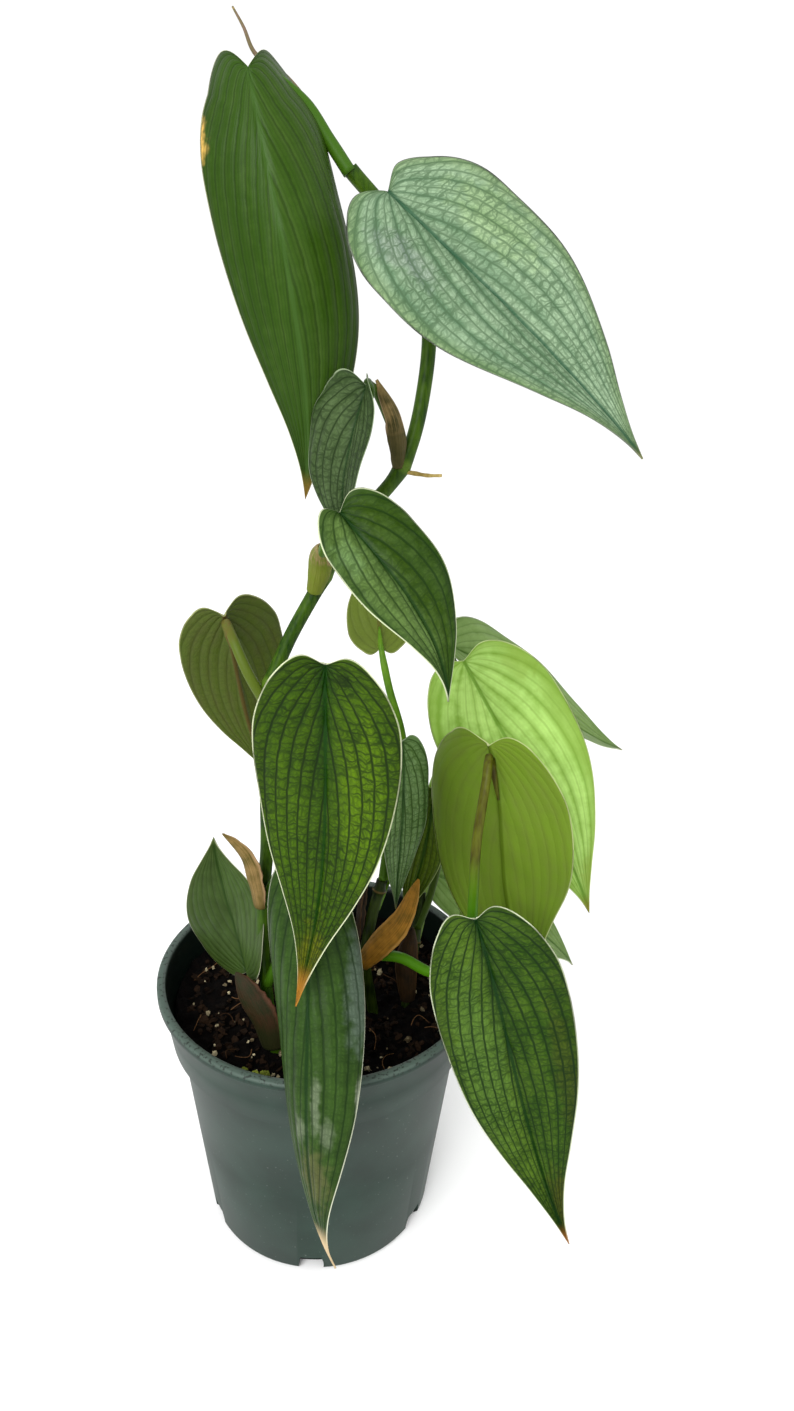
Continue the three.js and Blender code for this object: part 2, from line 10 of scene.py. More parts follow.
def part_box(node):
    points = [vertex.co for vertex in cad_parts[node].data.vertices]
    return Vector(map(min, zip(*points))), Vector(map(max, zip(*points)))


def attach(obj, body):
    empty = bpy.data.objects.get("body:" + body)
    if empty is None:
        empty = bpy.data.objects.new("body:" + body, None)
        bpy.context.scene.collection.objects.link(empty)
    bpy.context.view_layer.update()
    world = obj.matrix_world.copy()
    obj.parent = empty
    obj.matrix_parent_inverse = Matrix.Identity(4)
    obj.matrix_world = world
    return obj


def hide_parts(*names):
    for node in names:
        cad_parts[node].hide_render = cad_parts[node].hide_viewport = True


bl_info = {
    "name": "Potted silver leaf philodendron",
    "version": (1, 0, 0),
    "blender": (4, 5, 0),
    "location": "View3D > Sidebar > Plant",
    "description": "Pot, soil, stems, leaves and sheaths of a climbing aroid",
    "category": "Add Mesh",
}

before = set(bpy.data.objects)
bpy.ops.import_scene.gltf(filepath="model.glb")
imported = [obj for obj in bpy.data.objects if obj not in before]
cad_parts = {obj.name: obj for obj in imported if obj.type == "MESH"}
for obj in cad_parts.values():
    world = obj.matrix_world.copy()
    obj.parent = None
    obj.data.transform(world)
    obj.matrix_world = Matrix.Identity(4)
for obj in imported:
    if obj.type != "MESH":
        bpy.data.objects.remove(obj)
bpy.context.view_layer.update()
POT_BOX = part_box("pot")
BODY = "root"
MM = 0.001
SEED = 11

# Camera: place in metres, degrees down and of roll, then millimetres
CAMERA_PLACE = (0.024, -0.2871, 0.3324)
CAMERA_PITCH = 24
CAMERA_ROLL = 1.93
CAMERA_LENS = 25.51
CAMERA_SENSOR = 36

# Floor and light, in metres and watts. Each lamp has its place, side and power, and looks at the plant
LAMPS = {
    "key": ((-0.55, -1.25, 1.15), 0.9, 20),
    "fill": ((1.2, -0.6, 0.9), 1.2, 2),
}
PLANT_MIDDLE = (0.02, 0, 0.2)
FLOOR_REACH = 8
SKY_LIGHT = 0.84
EXPOSURE = 0.34

# Pot and soil, in millimetres. The foot's edge goes inwards and up, the inner wall steps at two heights from
# the band's foot, and a drain hole's middle lies outwards and up from the base. The soil widens by so much
# from so high above the band's foot, and its surface has coarse and fine crumbs and lies a little lower
POT_HEIGHT = round(POT_BOX[1].z / MM)
POT_TOP_RADIUS = round(POT_BOX[1].x / MM)
POT_LIP_WIDTH = 2.8
POT_LIP_HEIGHT = 2.6
POT_LIP_EDGE = 0.6
POT_LIP_STEP = 0.4
POT_BAND_HEIGHT = 22
POT_BAND_TOP_RADIUS = 55.4
POT_BAND_BOTTOM_RADIUS = 52.9
POT_BAND_STEP = 0.8
POT_BODY_TOP_RADIUS = 50
POT_BASE_RADIUS = 41.8
POT_FOOT_EDGE = (1.4, 1.6)
POT_WALL = 2
POT_INNER_STEP = (2, -1.4)
POT_POLE = 0.5
DRAIN_HOLES = 6
DRAIN_HOLE_RADIUS = 4.5
DRAIN_HOLE_PLACE = (-2, 1)
DRAIN_HOLE_REACH = 6
SOIL_LEVEL = 90
SOIL_BUMP = 1.5
SOIL_GAP = 0.4
SOIL_SIDE_GAP = 0.5
SOIL_EDGE = 0.5
SOIL_BAND = (0.9, 2.2)
SOIL_CRUMBS = (0.7, 0.45, -0.3)

# Loose bits on the soil: how many, their least and greatest sizes in mm, how deep they are dented, and how
# high their middles lie. Moss grows in one patch with a spread to each side
CHIP_SIZES = ((0.4, 0.4, 0.3), (2.0, 1.3, 0.9))
CHIP_DENT = 0.35
CHIP_LIFT = 0.3
PERLITE_GRAINS = 150
PERLITE_SIZES = (0.35, 1.35)
PERLITE_DENT = 0.42
PERLITE_LIFT = 0.9
MOSS_PATCH = (-19, -43)
MOSS_SPREAD = (3.2, 1.6)
MOSS_TUFTS = 16
MOSS_SIZES = (0.6, 1.6)
MOSS_DENT = 0.25
MOSS_LIFT = 1.2
FIBRES = 48
FIBRE_RADIUS = 0.16
FIBRE_REACH = (2.5, 6)
FIBRE_BEND = 2.5
FIBRE_LIFT = 1.1
FIBRE_ARCH = 0.8

# Loose bits keep off the wall and off the stems by these distances in mm
OFF_WALL = 4
FIBRE_OFF_WALL = 2
OFF_STEMS = 5
PERLITE_OFF_STEMS = 4

# Leaf blades, by shares of the length: the lobes lift near the notch, and the margin waves. On its way to the
# tip a vein moves out by a share of the half width
NOTCH_ZONE = 0.14
NOTCH_REACH = 0.17
WAVES_ALONG = 2.3
WAVE_SHIFT = 0.2
VEIN_SWEEP = 0.55

# A leafstalk starts under the midrib: three shares of the blade's length, how deep in mm it lies there, and
# how much deeper by its radius. It begins at a share of its radius, is full at a share of its length, and has
# a channel along it: the depth by its radius and the half width in radians
STALK_ROOT = (0.2, 0.1, 0.03)
STALK_DEPTH = (1.3, 1.2, 0.75)
STALK_DEEPER = (0, 0.65, 0.95)
STALK_START = 0.3
STALK_FULL = 1 / 7
STALK_CHANNEL = (0.12, 0.5)

# Sheaths: rows and columns of the mesh, the share of the width at the foot and its growth along the length,
# the least radius in mm, ribs with their depth in mm and their pace, slow buckles in mm, how far the edges
# flare by the radius, and how far they are torn by the width
SHEATH_MESH = (46, 30)
SHEATH_SPREAD = (0.72, 0.9)
SHEATH_LEAST_RADIUS = 0.48
SHEATH_RIBS = (0.07, 26)
SHEATH_BUCKLE = 0.2
SHEATH_FLARE = 0.16
SHEATH_TEAR = 0.05

# Growing tip and aerial root, in mm: the radius at the foot, how much of it goes evenly along the length, and
# how much more the tip loses by its end
TIP_RADIUS = (1.1, 0.5, 0.32)
ROOT_RADIUS = (0.85, 0.4)

# Relief of a blade, in millimetres: the groove above the midrib and the rib below it, each with its depth and
# reach, crests along the veins, and slow bumps with their size
GROOVE = (0.35, 0.9)
RIB = (0.7, 0.8)
RIB_AT_TIP = 0.15
VEIN_CREST = 0.07
BUMPS = (0.12, 9)

# Stems swell where a leaf grows, with a fine ring on the swelling: rise in mm, and half width as a share of
# the stem's length
SWELL = (0.45, 0.012)
RING = (0.18, 0.003)

# Sizes of the patterns in the finishes, in millimetres
VEIN_WAVER = 3
LAMINA_PATCH = 10.5
RIND_STREAK = (1.1, 1.1, 11)
RIND_MOTTLE = 7.7
PAPER_MOTTLE = 4.2
POT_MOTTLE = 16.5
POT_SPECK = 1.2
EARTH_GRAIN = 1.1
SWEEP_CLOUD = 330

# Lines of a lamina: where each fades in and where it is full. Arching veins, the thin lines between them and
# the valleys go by lanes. Rungs and nets go by cells; nets have their cells to a lane and their strength
VEIN_EDGE = (0.15, 0.04)
THIN_EDGE = (0.3, 0.1)
VALLEY_EDGE = (0.26, 0)
RUNG_EDGE = (0.17, 0.06)
NET_EDGE = (0.17, 0.05)
NETS = ((1.2, 0.8), (2.6, 0.5))

# How far the waver bends veins, rungs and nets, and how far a lane's rungs are shifted at random
VEIN_BEND = 0.2
RUNG_BEND = 1.3
NET_BEND = 0.45
RUNG_SHIFT = 9

# Zones of a lamina, in millimetres from the margin or the midrib: where each begins and where it is full. The
# tints of the two halves blend this near the midrib
BORDER_ZONE = (4.5, 0.4)
HEART_ZONE = (4.5, 0.3)
RIB_LINE = (0.9, 0.3)
MARGIN_LINE = (0.5, 0.15)
HALF_BLEND = 1.5

# A tip dries over this share of the length, patches shift the shade this far, and each mark, stains and
# painted light alike, has a ragged edge
DRY_FADE = 0.08
SHADE_DRIFT = 0.15
MARK_RAGS = 1.6
MARK_EDGE = (2.1, 1.2)

# A leafstalk's foot and a node's scar, by shares of the length
STALK_FOOT = (0.35, 0.5)
SCAR_EDGE = (0.008, 0.002)

# A sheath's fibres to its length and width, how far its foot fades, and its torn edge by shares of the width
FIBRES_TO_SHEATH = (2, 16, 0)
SHEATH_FOOT_FADE = 0.12
TORN_EDGE = (0.95, 1.15)

# The zone at the top of the lip that is paler, a painted highlight with some wear, and the soiled zone of the
# pot, in millimetres below its lip, and where on the specks its scuffs and its crumbs of soil fade in and
# are full
LIP_SHEEN_AND_WEAR_ZONE = (1.2, 0.4)
SOILED_ZONE = (3, 0.8)
SCUFF_EDGE = (0.68, 0.76)
CRUMB_EDGE = (0.56, 0.62)

# Most of a noise lies between these two values
NOISE_SPAN = (0.35, 0.65)

# Half outline of a heart-shaped blade, from the notch round the lobe to the tip:
# share of the way round, share of the length, share of the half width
OUTLINE = np.array([
    [0, 0, 0],
    [0.057, -0.03, 0.3],
    [0.106, -0.012, 0.52],
    [0.152, 0.03, 0.7],
    [0.241, 0.135, 0.93],
    [0.343, 0.26, 1],
    [0.445, 0.385, 0.98],
    [0.583, 0.54, 0.845],
    [0.727, 0.7, 0.56],
    [0.848, 0.83, 0.27],
    [0.939, 0.93, 0.09],
    [1, 1, 0],
])

# Stems: points from below the soil's surface upwards, the radius at the foot and from a third of the way up,
# the shares of the length where leaves grow, and the rind's two tones and the colour of its rings there
STEMS = {
    "main_vine": dict(
        points=[
            (-12, -29, 68), (-13, -28, 90), (-16, -23, 110), (-17, -20, 142), (-16, -14, 160),
            (-17, -5, 188), (-17, 0, 205), (-11, 4, 222), (-1, 8, 241), (7, 13, 256), (23, 20, 275),
            (29, 27, 298), (29, 30, 320), (21, 29, 339), (6, 26, 355),
        ],
        radii=(1.9, 2.2), nodes=(0.245, 0.465, 0.585, 0.715, 0.925),
        rind=("#385404", "#143000", "#4f6a1c")),
    "left_shoot": dict(
        points=[(20, -9, 68), (19, -8, 90), (16, -8, 112), (18, -6, 129), (21, -4, 142)],
        radii=(2.3, 1.9), nodes=(0.6, 0.95), rind=("#2c3c0a", "#0c1800", "#5a4a24")),
    "middle_shoot": dict(
        points=[(29, -6, 70), (31, -3, 90), (33, 6, 106), (35, 16, 124)],
        radii=(2.2, 1.8), nodes=(0.7,), rind=("#2c3c0a", "#0c1800", "#5a4a24")),
    "right_shoot": dict(
        points=[(43, 0, 72), (45, -1, 90), (47, -1, 110)],
        radii=(2.2, 1.8), nodes=(0.85,), rind=("#2c3c0a", "#0c1800", "#5a4a24")),
}

# Leaves. base is the notch, tip the drawn-out point, face the way the upper side looks (azimuth, elevation).
# fold and curl are in degrees and, like share, hold the left and the right half. bow, sway, lift and wave are
# in mm, twist is in degrees at the tip, and lobe lengthens the lobes past the notch. petiole lists the
# leafstalk from blade to stem, and radii are its radius at both ends.
# tint is how far the left and the right half go to the second shade; where the halves differ, this is painted
# light and shade, one half paler as it catches the light and the other darker. marks lie on the upper side,
# stains and, where noted, painted highlight, shade and reflection: distance from the midrib (left is
# negative) and from the notch, half width, half length, in mm, colour and strength. dents are hollows of the
# blade: the same two distances, radius and depth. A blade without marks or hollows names none.
LEAVES = [
    dict(name="leaf_top_left", base=(-20, 15, 377), tip=(-6, 16, 265), face=(13, 2), width=44, bow=14,
         sway=2.6, fold=(-16, -2), curl=(36, 63), share=(0.93, 1.26), lobe=2.7, twist=14, lift=-12, wave=0.5,
         petiole=[(-18, 20, 377), (-13, 24, 375), (-6, 26, 370), (0, 26, 362), (6, 25, 354)],
         radii=(1.3, 2.0), finish="deep_green", tint=(0.05, 0.35), marks=[
             (-18.4, 8.6, 3.5, 7, "#e0b45c", 1.0),
             (-12, 40, 6, 40, "#1c3600", 0.35)],
         dents=[(-12, 9, 4, 1.4)]),
    dict(name="leaf_top_right", base=(17, 8, 349), tip=(86, -22, 287), face=(14, 33), width=51, bow=1.5,
         sway=1, fold=(17, 19), curl=(31, 18), share=(1.02, 0.99), lobe=1.4, twist=-15, lift=-4, wave=0.6,
         petiole=[(17, 14, 347), (20, 22, 341), (22, 29, 335)],
         radii=(1.4, 1.7), finish="silver", tint=(0.4, 0.1), marks=[
             (-13, 18, 5, 12, "#96949c", 0.3),
             (15, 26, 8, 16, "#8ca860", 0.3),
             # Painted shade in the valley to the right of the midrib
             (5, 34, 2.4, 26, "#44694a", 0.4)]),
    dict(name="leaf_upper_small", base=(13, -4, 301), tip=(8, -9, 257), face=(-53, 14), width=30, bow=2.5,
         sway=-1.4, fold=(27, 26), curl=(23, 14), share=(1.1, 1), lobe=1.7, twist=0, lift=6, wave=0.4,
         petiole=[(13, 2, 301), (13, 9, 300), (15, 16, 297), (20, 19, 286), (23, 20, 277)],
         radii=(1.1, 1.5), finish="grey_silver", tint=(0.3, 0.5)),
    dict(name="leaf_centre", base=(7, -24, 271), tip=(38, -38, 223), face=(25, 28), width=28, bow=6,
         sway=2.7, fold=(10, 20), curl=(27, 22), share=(0.9, 1.1), lobe=1.1, twist=-16, lift=4.5, wave=0.5,
         petiole=[(5, -19, 266), (2, -10, 258), (0, 0, 251), (-1, 8, 242)],
         radii=(1.3, 1.7), finish="sea_green", tint=(0.05, 0.9), marks=[
             # A painted sheen on the left half by the notch, and painted shade on the right half
             (-7, 12, 3.5, 5, "#70905c", 0.4),
             (9, 24, 5, 18, "#1f3a08", 0.4)]),
    dict(name="leaf_front_centre", base=(5, -46, 236), tip=(-2, -63, 138), face=(-6, 25), width=42, bow=-10,
         sway=2.7, fold=(19, 14), curl=(12, 26), share=(0.96, 1.04), lobe=1.2, twist=36, lift=1.6, wave=0.7,
         petiole=[(4, -38, 224), (-2, -28, 185), (-11, -23, 156), (-17, -20, 142)],
         radii=(1.5, 2), finish="moss_green", tint=(0.5, 0.3), marks=[
             (12, 36, 7, 24, "#587802", 0.5),
             (-12, 50, 6, 22, "#486804", 0.35),
             # Painted shade in the hollow beside the notch
             (5.8, 3.4, 2.4, 1.8, "#061600", 0.7),
             (0, 88, 5, 12, "#6a6a08", 0.6)],
         dents=[(5.8, 3.4, 2.6, 1.3), (2.6, 6.5, 1.6, -0.6)]),
    dict(name="leaf_left_underside", base=(-32, 14, 228), tip=(-20, 22, 167), face=(190, -13), width=37,
         bow=4, sway=2, fold=(28, 14), curl=(4, 0), share=(1.06, 0.95), lobe=1.3, twist=-4, lift=3, wave=0.5,
         petiole=[(-28, 6, 223), (-23, 1, 214), (-17, 0, 203)],
         radii=(1.4, 1.8), finish="dull_olive", tint=(0.3, 0.3)),
    dict(name="leaf_narrow_silver", base=(26, -2, 193), tip=(26, 2, 126), face=(37, 25), width=19.5, bow=3,
         sway=-1.8, fold=(15, 15), curl=(10, 10), share=(1, 1), lobe=0.8, twist=-3, lift=0, wave=0.4,
         petiole=[(25, 4, 176), (23, 3, 160), (21, -4, 142)],
         radii=(1.1, 1.4), finish="silver_shoot", tint=(0.2, 0.4)),
    dict(name="leaf_narrow_dark", base=(38, 16, 165), tip=(28, 10, 117), face=(11, 20), width=14, bow=7,
         sway=0, fold=(15, 15), curl=(10, 10), share=(1, 1), lobe=1, twist=5, lift=-1, wave=0.3,
         petiole=[(40, 20, 153), (41, 19, 138), (38, 14, 123), (34, 9, 113)],
         radii=(1.1, 1.4), finish="dark_green", tint=(0.5, 0.5)),
    dict(name="leaf_new_lime", base=(45, 14, 215), tip=(94, 5, 125), face=(6, 24), width=46.5, bow=2,
         sway=2, fold=(14, 15), curl=(25, 24), share=(0.95, 1.03), lobe=0.9, twist=-2, lift=0, wave=0.6,
         petiole=[(42, 20, 195), (40, 24, 173), (37, 27, 158), (37, 23, 140), (35, 16, 122)],
         radii=(1.3, 1.5), finish="lime", tint=(0.5, 0.2), marks=[
             (16, 8, 6, 8, "#82a034", 0.5),
             (20, 36, 4, 28, "#80a238", 0.55),
             # A painted highlight near the notch
             (-5, 14, 6, 12, "#cdf08c", 0.4),
             (6, 90, 5, 9, "#8a9a34", 0.5)]),
    dict(name="leaf_right_underside", base=(52, -20, 202), tip=(77, -27, 112), face=(152, -4), width=52,
         bow=2.5, sway=8, fold=(-10, 18), curl=(14, -20), share=(0.94, 1.2), lobe=1.1, twist=-28, lift=1,
         wave=0.6,
         petiole=[(51, -27, 193), (49, -32, 175), (49, -34, 158), (49, -32, 141), (45, -27, 125),
                  (38, -21, 118), (28, -14, 118), (17, -8, 114)],
         radii=(1.3, 1.9), finish="olive", tint=(0.3, 0.3)),
    dict(name="leaf_lower_right", base=(49, -45, 157), tip=(85, -64, 46), face=(-12, 22), width=42, bow=-5,
         sway=-2.8, fold=(19, 14), curl=(14, 28), share=(0.94, 1.04), lobe=1.2, twist=7, lift=0, wave=0.7,
         petiole=[(53, -37, 143), (56, -23, 120), (47, -1, 101)],
         radii=(1.4, 1.8), finish="fresh_green", tint=(0.2, 0.7), marks=[
             (-9, 45, 8, 34, "#527434", 0.35),
             (16, 60, 4, 34, "#332e04", 0.4),
             (4, 104, 5, 12, "#4c440a", 0.5)]),
    dict(name="leaf_over_rim", base=(-3, -34, 164), tip=(11, -78, 50), face=(18, 32), width=32.5, bow=10.5,
         sway=-7, fold=(-11, 7), curl=(60, 57), share=(1.04, 1.14), lobe=1, twist=70, lift=0, wave=0.5,
         petiole=[(-5, -30, 149), (-10, -27, 130), (-16, -23, 112)],
         radii=(1.3, 1.7), finish="weathered_green", tint=(0.4, 0.4), marks=[
             # A painted reflection along the right half
             (15.5, 34, 4.5, 18, "#66726c", 0.5),
             (3, 66, 1.6, 9, "#98a08a", 0.3),
             (-2.6, 74, 2.4, 4, "#98a08a", 0.3),
             (6.5, 74, 2.4, 5, "#98a08a", 0.25),
             (2, 88, 5, 10, "#6a6040", 0.4),
             (16, 72, 1.2, 14, "#c4c8b4", 0.5)]),
    dict(name="leaf_small_left", base=(-24, -16, 111), tip=(-36, 0, 154), face=(-43, -1), width=43, bow=-1,
         sway=2.8, fold=(17, 4), curl=(-5, 14), share=(1.02, 1.01), lobe=0.9, twist=40, lift=0, wave=0.4,
         petiole=[(-21, -19, 104), (-14, -27, 96)],
         radii=(1.2, 1.5), finish="grey_green", tint=(0.2, 0.6)),
    dict(name="leaf_back_centre", base=(18, 25, 214), tip=(14, 48, 243), face=(180, -20), width=22, bow=2,
         sway=0, fold=(14, 14), curl=(25, 25), share=(1, 1), lobe=1.6, twist=0, lift=0, wave=0.4,
         petiole=[(21, 19, 203), (26, 15, 187), (28, 13, 165), (25, 6, 146), (19, -5, 131)],
         radii=(1.2, 1.6), finish="shaded_olive", tint=(0.3, 0.3)),
    dict(name="leaf_back_right", base=(42, 29, 214), tip=(111.8, 60.9, 162), face=(16, 62), width=38, bow=2,
         sway=-5, fold=(24, 18), curl=(8, 20), share=(1, 1.05), lobe=1.4, twist=-10, lift=0, wave=0.5,
         petiole=[(46, 35, 190), (51, 33, 158), (52, 16, 132), (47, -1, 106)],
         radii=(1.3, 1.6), finish="pale_green", tint=(0.2, 0.2)),
    dict(name="leaf_over_back_rim", base=(39, 38, 118), tip=(103, 60, 59), face=(20, 55), width=32, bow=8,
         sway=0, fold=(14, 14), curl=(25, 25), share=(1, 1), lobe=1, twist=0, lift=0, wave=0.5,
         petiole=[(37, 29, 117), (36, 20, 112), (33, 6, 106)],
         radii=(1.2, 1.5), finish="pale_green", tint=(0.5, 0.5)),
]

# Sheaths that once wrapped the young leaves: the middle line from the stem up, the width half way,
# the way the back of the sheath looks and the angle it wraps through
SHEATHS = [
    dict(name="sheath_dry_left", points=[(-19, -22, 142), (-20, -24, 152), (-22, -25, 162), (-28, -25, 171)],
         width=10, wrap=165, face=(-50, 10), finish="tan"),
    dict(name="sheath_basal_red", width=15, wrap=130, face=(-30, 5), finish="red_brown",
         points=[(-15, -31, 91.5), (-18, -31, 103), (-22, -30, 112), (-25, -28, 121)]),
    dict(name="sheath_orange", points=[(14, -10, 111), (19, -14, 121), (27, -15, 133), (33, -13, 149)],
         width=9, wrap=110, face=(-30, 20), finish="orange"),
    dict(name="sheath_brown_upright", points=[(31, -6, 92), (30, -4, 106), (32, -1, 121)],
         width=10, wrap=160, face=(-8, 5), finish="brown"),
    dict(name="sheath_brown_back", points=[(13, -5, 119), (13, -2, 131), (15, 2, 143)],
         width=9, wrap=140, face=(-100, 0), finish="brown"),
    dict(name="sheath_upper_tan", points=[(22.5, 17, 275), (22, 15.5, 283), (20.5, 14.5, 290), (15, 13, 301)],
         width=7, wrap=150, face=(20, 15), finish="rust"),
    dict(name="sheath_olive_centre", points=[(-4, 5, 239), (-3, 1.5, 246), (-2, -2.5, 252), (0, -8, 257)],
         width=13, wrap=220, face=(-40, 5), finish="pink_olive"),
]

# Middle lines of the furled young leaf and of the aerial root
GROWING_TIP = [
    (7, 28, 354), (2, 31, 361), (-6, 34, 371), (-13, 35, 378), (-21, 35, 383), (-24, 36, 389),
    (-27, 37, 393.8),
]
AERIAL_ROOT = [(21, 20, 274), (27, 18.5, 273.5), (31, 16, 273.5), (35, 14, 274)]

# Leaf finishes: lamina, its second shade, veins, midrib, border inside the margin, margin, tip, underside
# and leafstalk (two greens and the foot). Then how strongly all veins show, and of them the cross veins and
# the faint lines, how far the valleys and the zone along the midrib change colour, the light let through,
# the share of the length where the tip begins to dry, and the slot. In the valleys the colour is partly
# painted light: shade in the creases, and a highlight where the second shade is paler
PLAIN = dict(cross=0.7, faint=0.2, valley=0.3, heart=0.2, glow=0.1, dry=0.93, slot="leaf_green")
LEAF_FINISHES = {
    "deep_green": PLAIN | dict(
        lamina="#294605", shade="#385218", veins="#152a00", rib="#34521a", border="#1f3400",
        margin="#c9cf9a", tip="#84682a", under="#3f541f", stalk=("#33560a", "#4a5a14", "#33560a"),
        net=0.55, cross=0.2, faint=0.6, valley=0.45, dry=0.91),
    "silver": PLAIN | dict(
        lamina="#90a988", shade="#5a785a", veins="#3c5638", rib="#265036", border="#6c844c",
        margin="#70776a", tip="#8c8c4c", under="#7f9470", stalk=("#3f6a14", "#2c5206", "#3f6a14"),
        net=0.72, cross=1.0, faint=0.25, valley=0.65, heart=0.3, glow=0.12, dry=0.95,
        slot="leaf_silver"),
    "grey_silver": PLAIN | dict(
        lamina="#4c603a", shade="#2f421e", veins="#102204", rib="#12300e", border="#22380f",
        margin="#8f9f7d", tip="#8d8a4d", under="#5c6c44", stalk=("#33500a", "#223c08", "#33500a"),
        net=0.8, cross=0.8, valley=0.35, slot="leaf_silver"),
    "silver_shoot": PLAIN | dict(
        lamina="#86a76c", shade="#628344", veins="#25400c", rib="#25481a", border="#40602c",
        margin="#8f9f7d", tip="#8d8a4d", under="#6f8a58", stalk=("#3f5f12", "#2c4a0c", "#3f5f12"),
        net=0.8, cross=0.8, slot="leaf_silver"),
    "sea_green": PLAIN | dict(
        lamina="#587238", shade="#2c4404", veins="#0a2600", rib="#0c2e06", border="#203c06",
        margin="#d3dcb4", tip="#44501c", under="#4b5a1c", stalk=("#3f5f12", "#2c4a0c", "#3f5f12"),
        net=0.75, cross=0.65, faint=0.25, valley=0.25, heart=0.4, dry=0.95),
    "dull_olive": PLAIN | dict(
        lamina="#3c4c0c", shade="#4a4a26", veins="#1c2a00", rib="#4a3a18", border="#2c3a08",
        margin="#9a9f6a", tip="#6d4a20", under="#445418", stalk=("#4f5a1c", "#5a4420", "#4a5a14"),
        net=0.7, valley=0.4),
    "shaded_olive": PLAIN | dict(
        lamina="#4f6018", shade="#55602a", veins="#3c4a10", rib="#5a5a24", border="#46541a",
        margin="#9a9f6a", tip="#6d4a20", under="#66782c", stalk=("#547a14", "#3f6410", "#547a14"),
        net=0.4, cross=0.4, glow=0.15, slot="leaf_yellow_green"),
    "moss_green": PLAIN | dict(
        lamina="#426000", shade="#233f00", veins="#0c1e00", rib="#0a3200", border="#304600",
        margin="#e2e8c0", tip="#b47c2c", under="#5f7a20", stalk=("#2c4e08", "#193a00", "#2c4e08"),
        net=0.9, cross=0.85, faint=0.25, valley=0.25, heart=0.75, glow=0.12, dry=0.88,
        slot="leaf_yellow_green"),
    "lime": PLAIN | dict(
        lamina="#bae07c", shade="#88b046", veins="#7a9c3c", rib="#6f9a34", border="#789a2c",
        margin="#dbe8a8", tip="#8c8a34", under="#a3c46a", stalk=("#6f9428", "#57801a", "#6f9428"),
        net=0.32, cross=0.25, faint=0.35, valley=0.55, heart=0.1, glow=0.3, dry=0.91, slot="leaf_lime"),
    "olive": PLAIN | dict(
        lamina="#5c7a12", shade="#6c7a34", veins="#4e6a0c", rib="#4a6208", border="#587410",
        margin="#c6d093", tip="#8a7a35", under="#6c8a26", stalk=("#383206", "#50560e", "#42740a"),
        net=0.22, cross=0.3, faint=0.4, valley=0.4, heart=0.1, glow=0.25, slot="leaf_yellow_green"),
    "fresh_green": PLAIN | dict(
        lamina="#4b6816", shade="#284602", veins="#062000", rib="#052a06", border="#263c00",
        margin="#e0e8c4", tip="#b5702a", under="#55702c", stalk=("#3f6a14", "#2c5206", "#3f6a14"),
        net=0.9, cross=0.8, faint=0.25, valley=0.25, heart=0.6, glow=0.12),
    "weathered_green": PLAIN | dict(
        lamina="#34501a", shade="#1f350b", veins="#041e00", rib="#082804", border="#24380e",
        margin="#dfe3c8", tip="#cdb58c", under="#62774a", stalk=("#33560a", "#1f4400", "#33560a"),
        net=0.65, cross=0.6, faint=0.45, valley=0.35, heart=0.3, dry=0.84),
    "grey_green": PLAIN | dict(
        lamina="#3c5322", shade="#293a12", veins="#182a00", rib="#1c3406", border="#38481c",
        margin="#b4b69c", tip="#5a6a35", under="#55683c", stalk=("#5f5228", "#384a10", "#5f5228"),
        net=0.35, cross=0.4, faint=0.15, valley=0.2),
    "pale_green": PLAIN | dict(
        lamina="#7c9856", shade="#5f7c3a", veins="#4a6426", rib="#4a6a2c", border="#5f7c3a",
        margin="#c8d4b0", tip="#7a7a45", under="#6a8048", stalk=("#5a7428", "#46601a", "#5a7428"),
        net=0.4, cross=0.4, valley=0.4, glow=0.15),
    "dark_green": PLAIN | dict(
        lamina="#566f10", shade="#48580c", veins="#1c3004", rib="#183804", border="#3c5008",
        margin="#8a9a5c", tip="#5a5a20", under="#465a1c", stalk=("#33480a", "#1c3200", "#33480a"),
        net=0.7, heart=0.3),
}

# Sheath finishes: the papery body, its darker streaks and foot, its edge, how far up the foot goes, the slot
SHEATH_FINISHES = {
    "tan": ("#8a7040", "#554a14", "#c09c74", 0.15, "sheath_dry"),
    "red_brown": ("#352410", "#202408", "#643c2a", 0.3, "sheath_brown"),
    "orange": ("#a8741f", "#6c5008", "#c09048", 0.12, "sheath_dry"),
    "brown": ("#3a260c", "#1c1204", "#5c3f1c", 0.12, "sheath_brown"),
    "rust": ("#9a8050", "#3a380c", "#b09470", 0.55, "sheath_dry"),
    "pink_olive": ("#947c54", "#667614", "#b5857a", 0.66, "sheath_dry"),
}


def srgb(code):
    """Linear red, green, blue and alpha of an sRGB hex colour."""
    values = [int(code[i:i + 2], 16) / 255 for i in (1, 3, 5)]
    return [v / 12.92 if v <= 0.04045 else ((v + 0.055) / 1.055) ** 2.4 for v in values] + [1.0]


class PotSettings(bpy.types.PropertyGroup):
    """Sizes of the pot and its soil, and the colour of the pot."""

    height: bpy.props.FloatProperty(
        name="Height", description="Underside to lip", default=POT_HEIGHT * MM, unit="LENGTH")
    lip_radius: bpy.props.FloatProperty(
        name="Lip radius", description="Outer radius of the lip", default=POT_TOP_RADIUS * MM, unit="LENGTH")
    base_radius: bpy.props.FloatProperty(
        name="Base radius", description="Radius at the foot", default=POT_BASE_RADIUS * MM, unit="LENGTH")
    wall: bpy.props.FloatProperty(
        name="Wall", description="Thickness of the wall", default=POT_WALL * MM, unit="LENGTH")
    soil_level: bpy.props.FloatProperty(
        name="Soil level", description="Height of the soil", default=SOIL_LEVEL * MM, unit="LENGTH")
    chips: bpy.props.IntProperty(name="Bark chips", description="Loose chips on the soil", default=900, min=0)
    colour: bpy.props.FloatVectorProperty(
        name="Colour", description="Body of the pot", subtype="COLOR", default=srgb("#1e2f27")[:3])


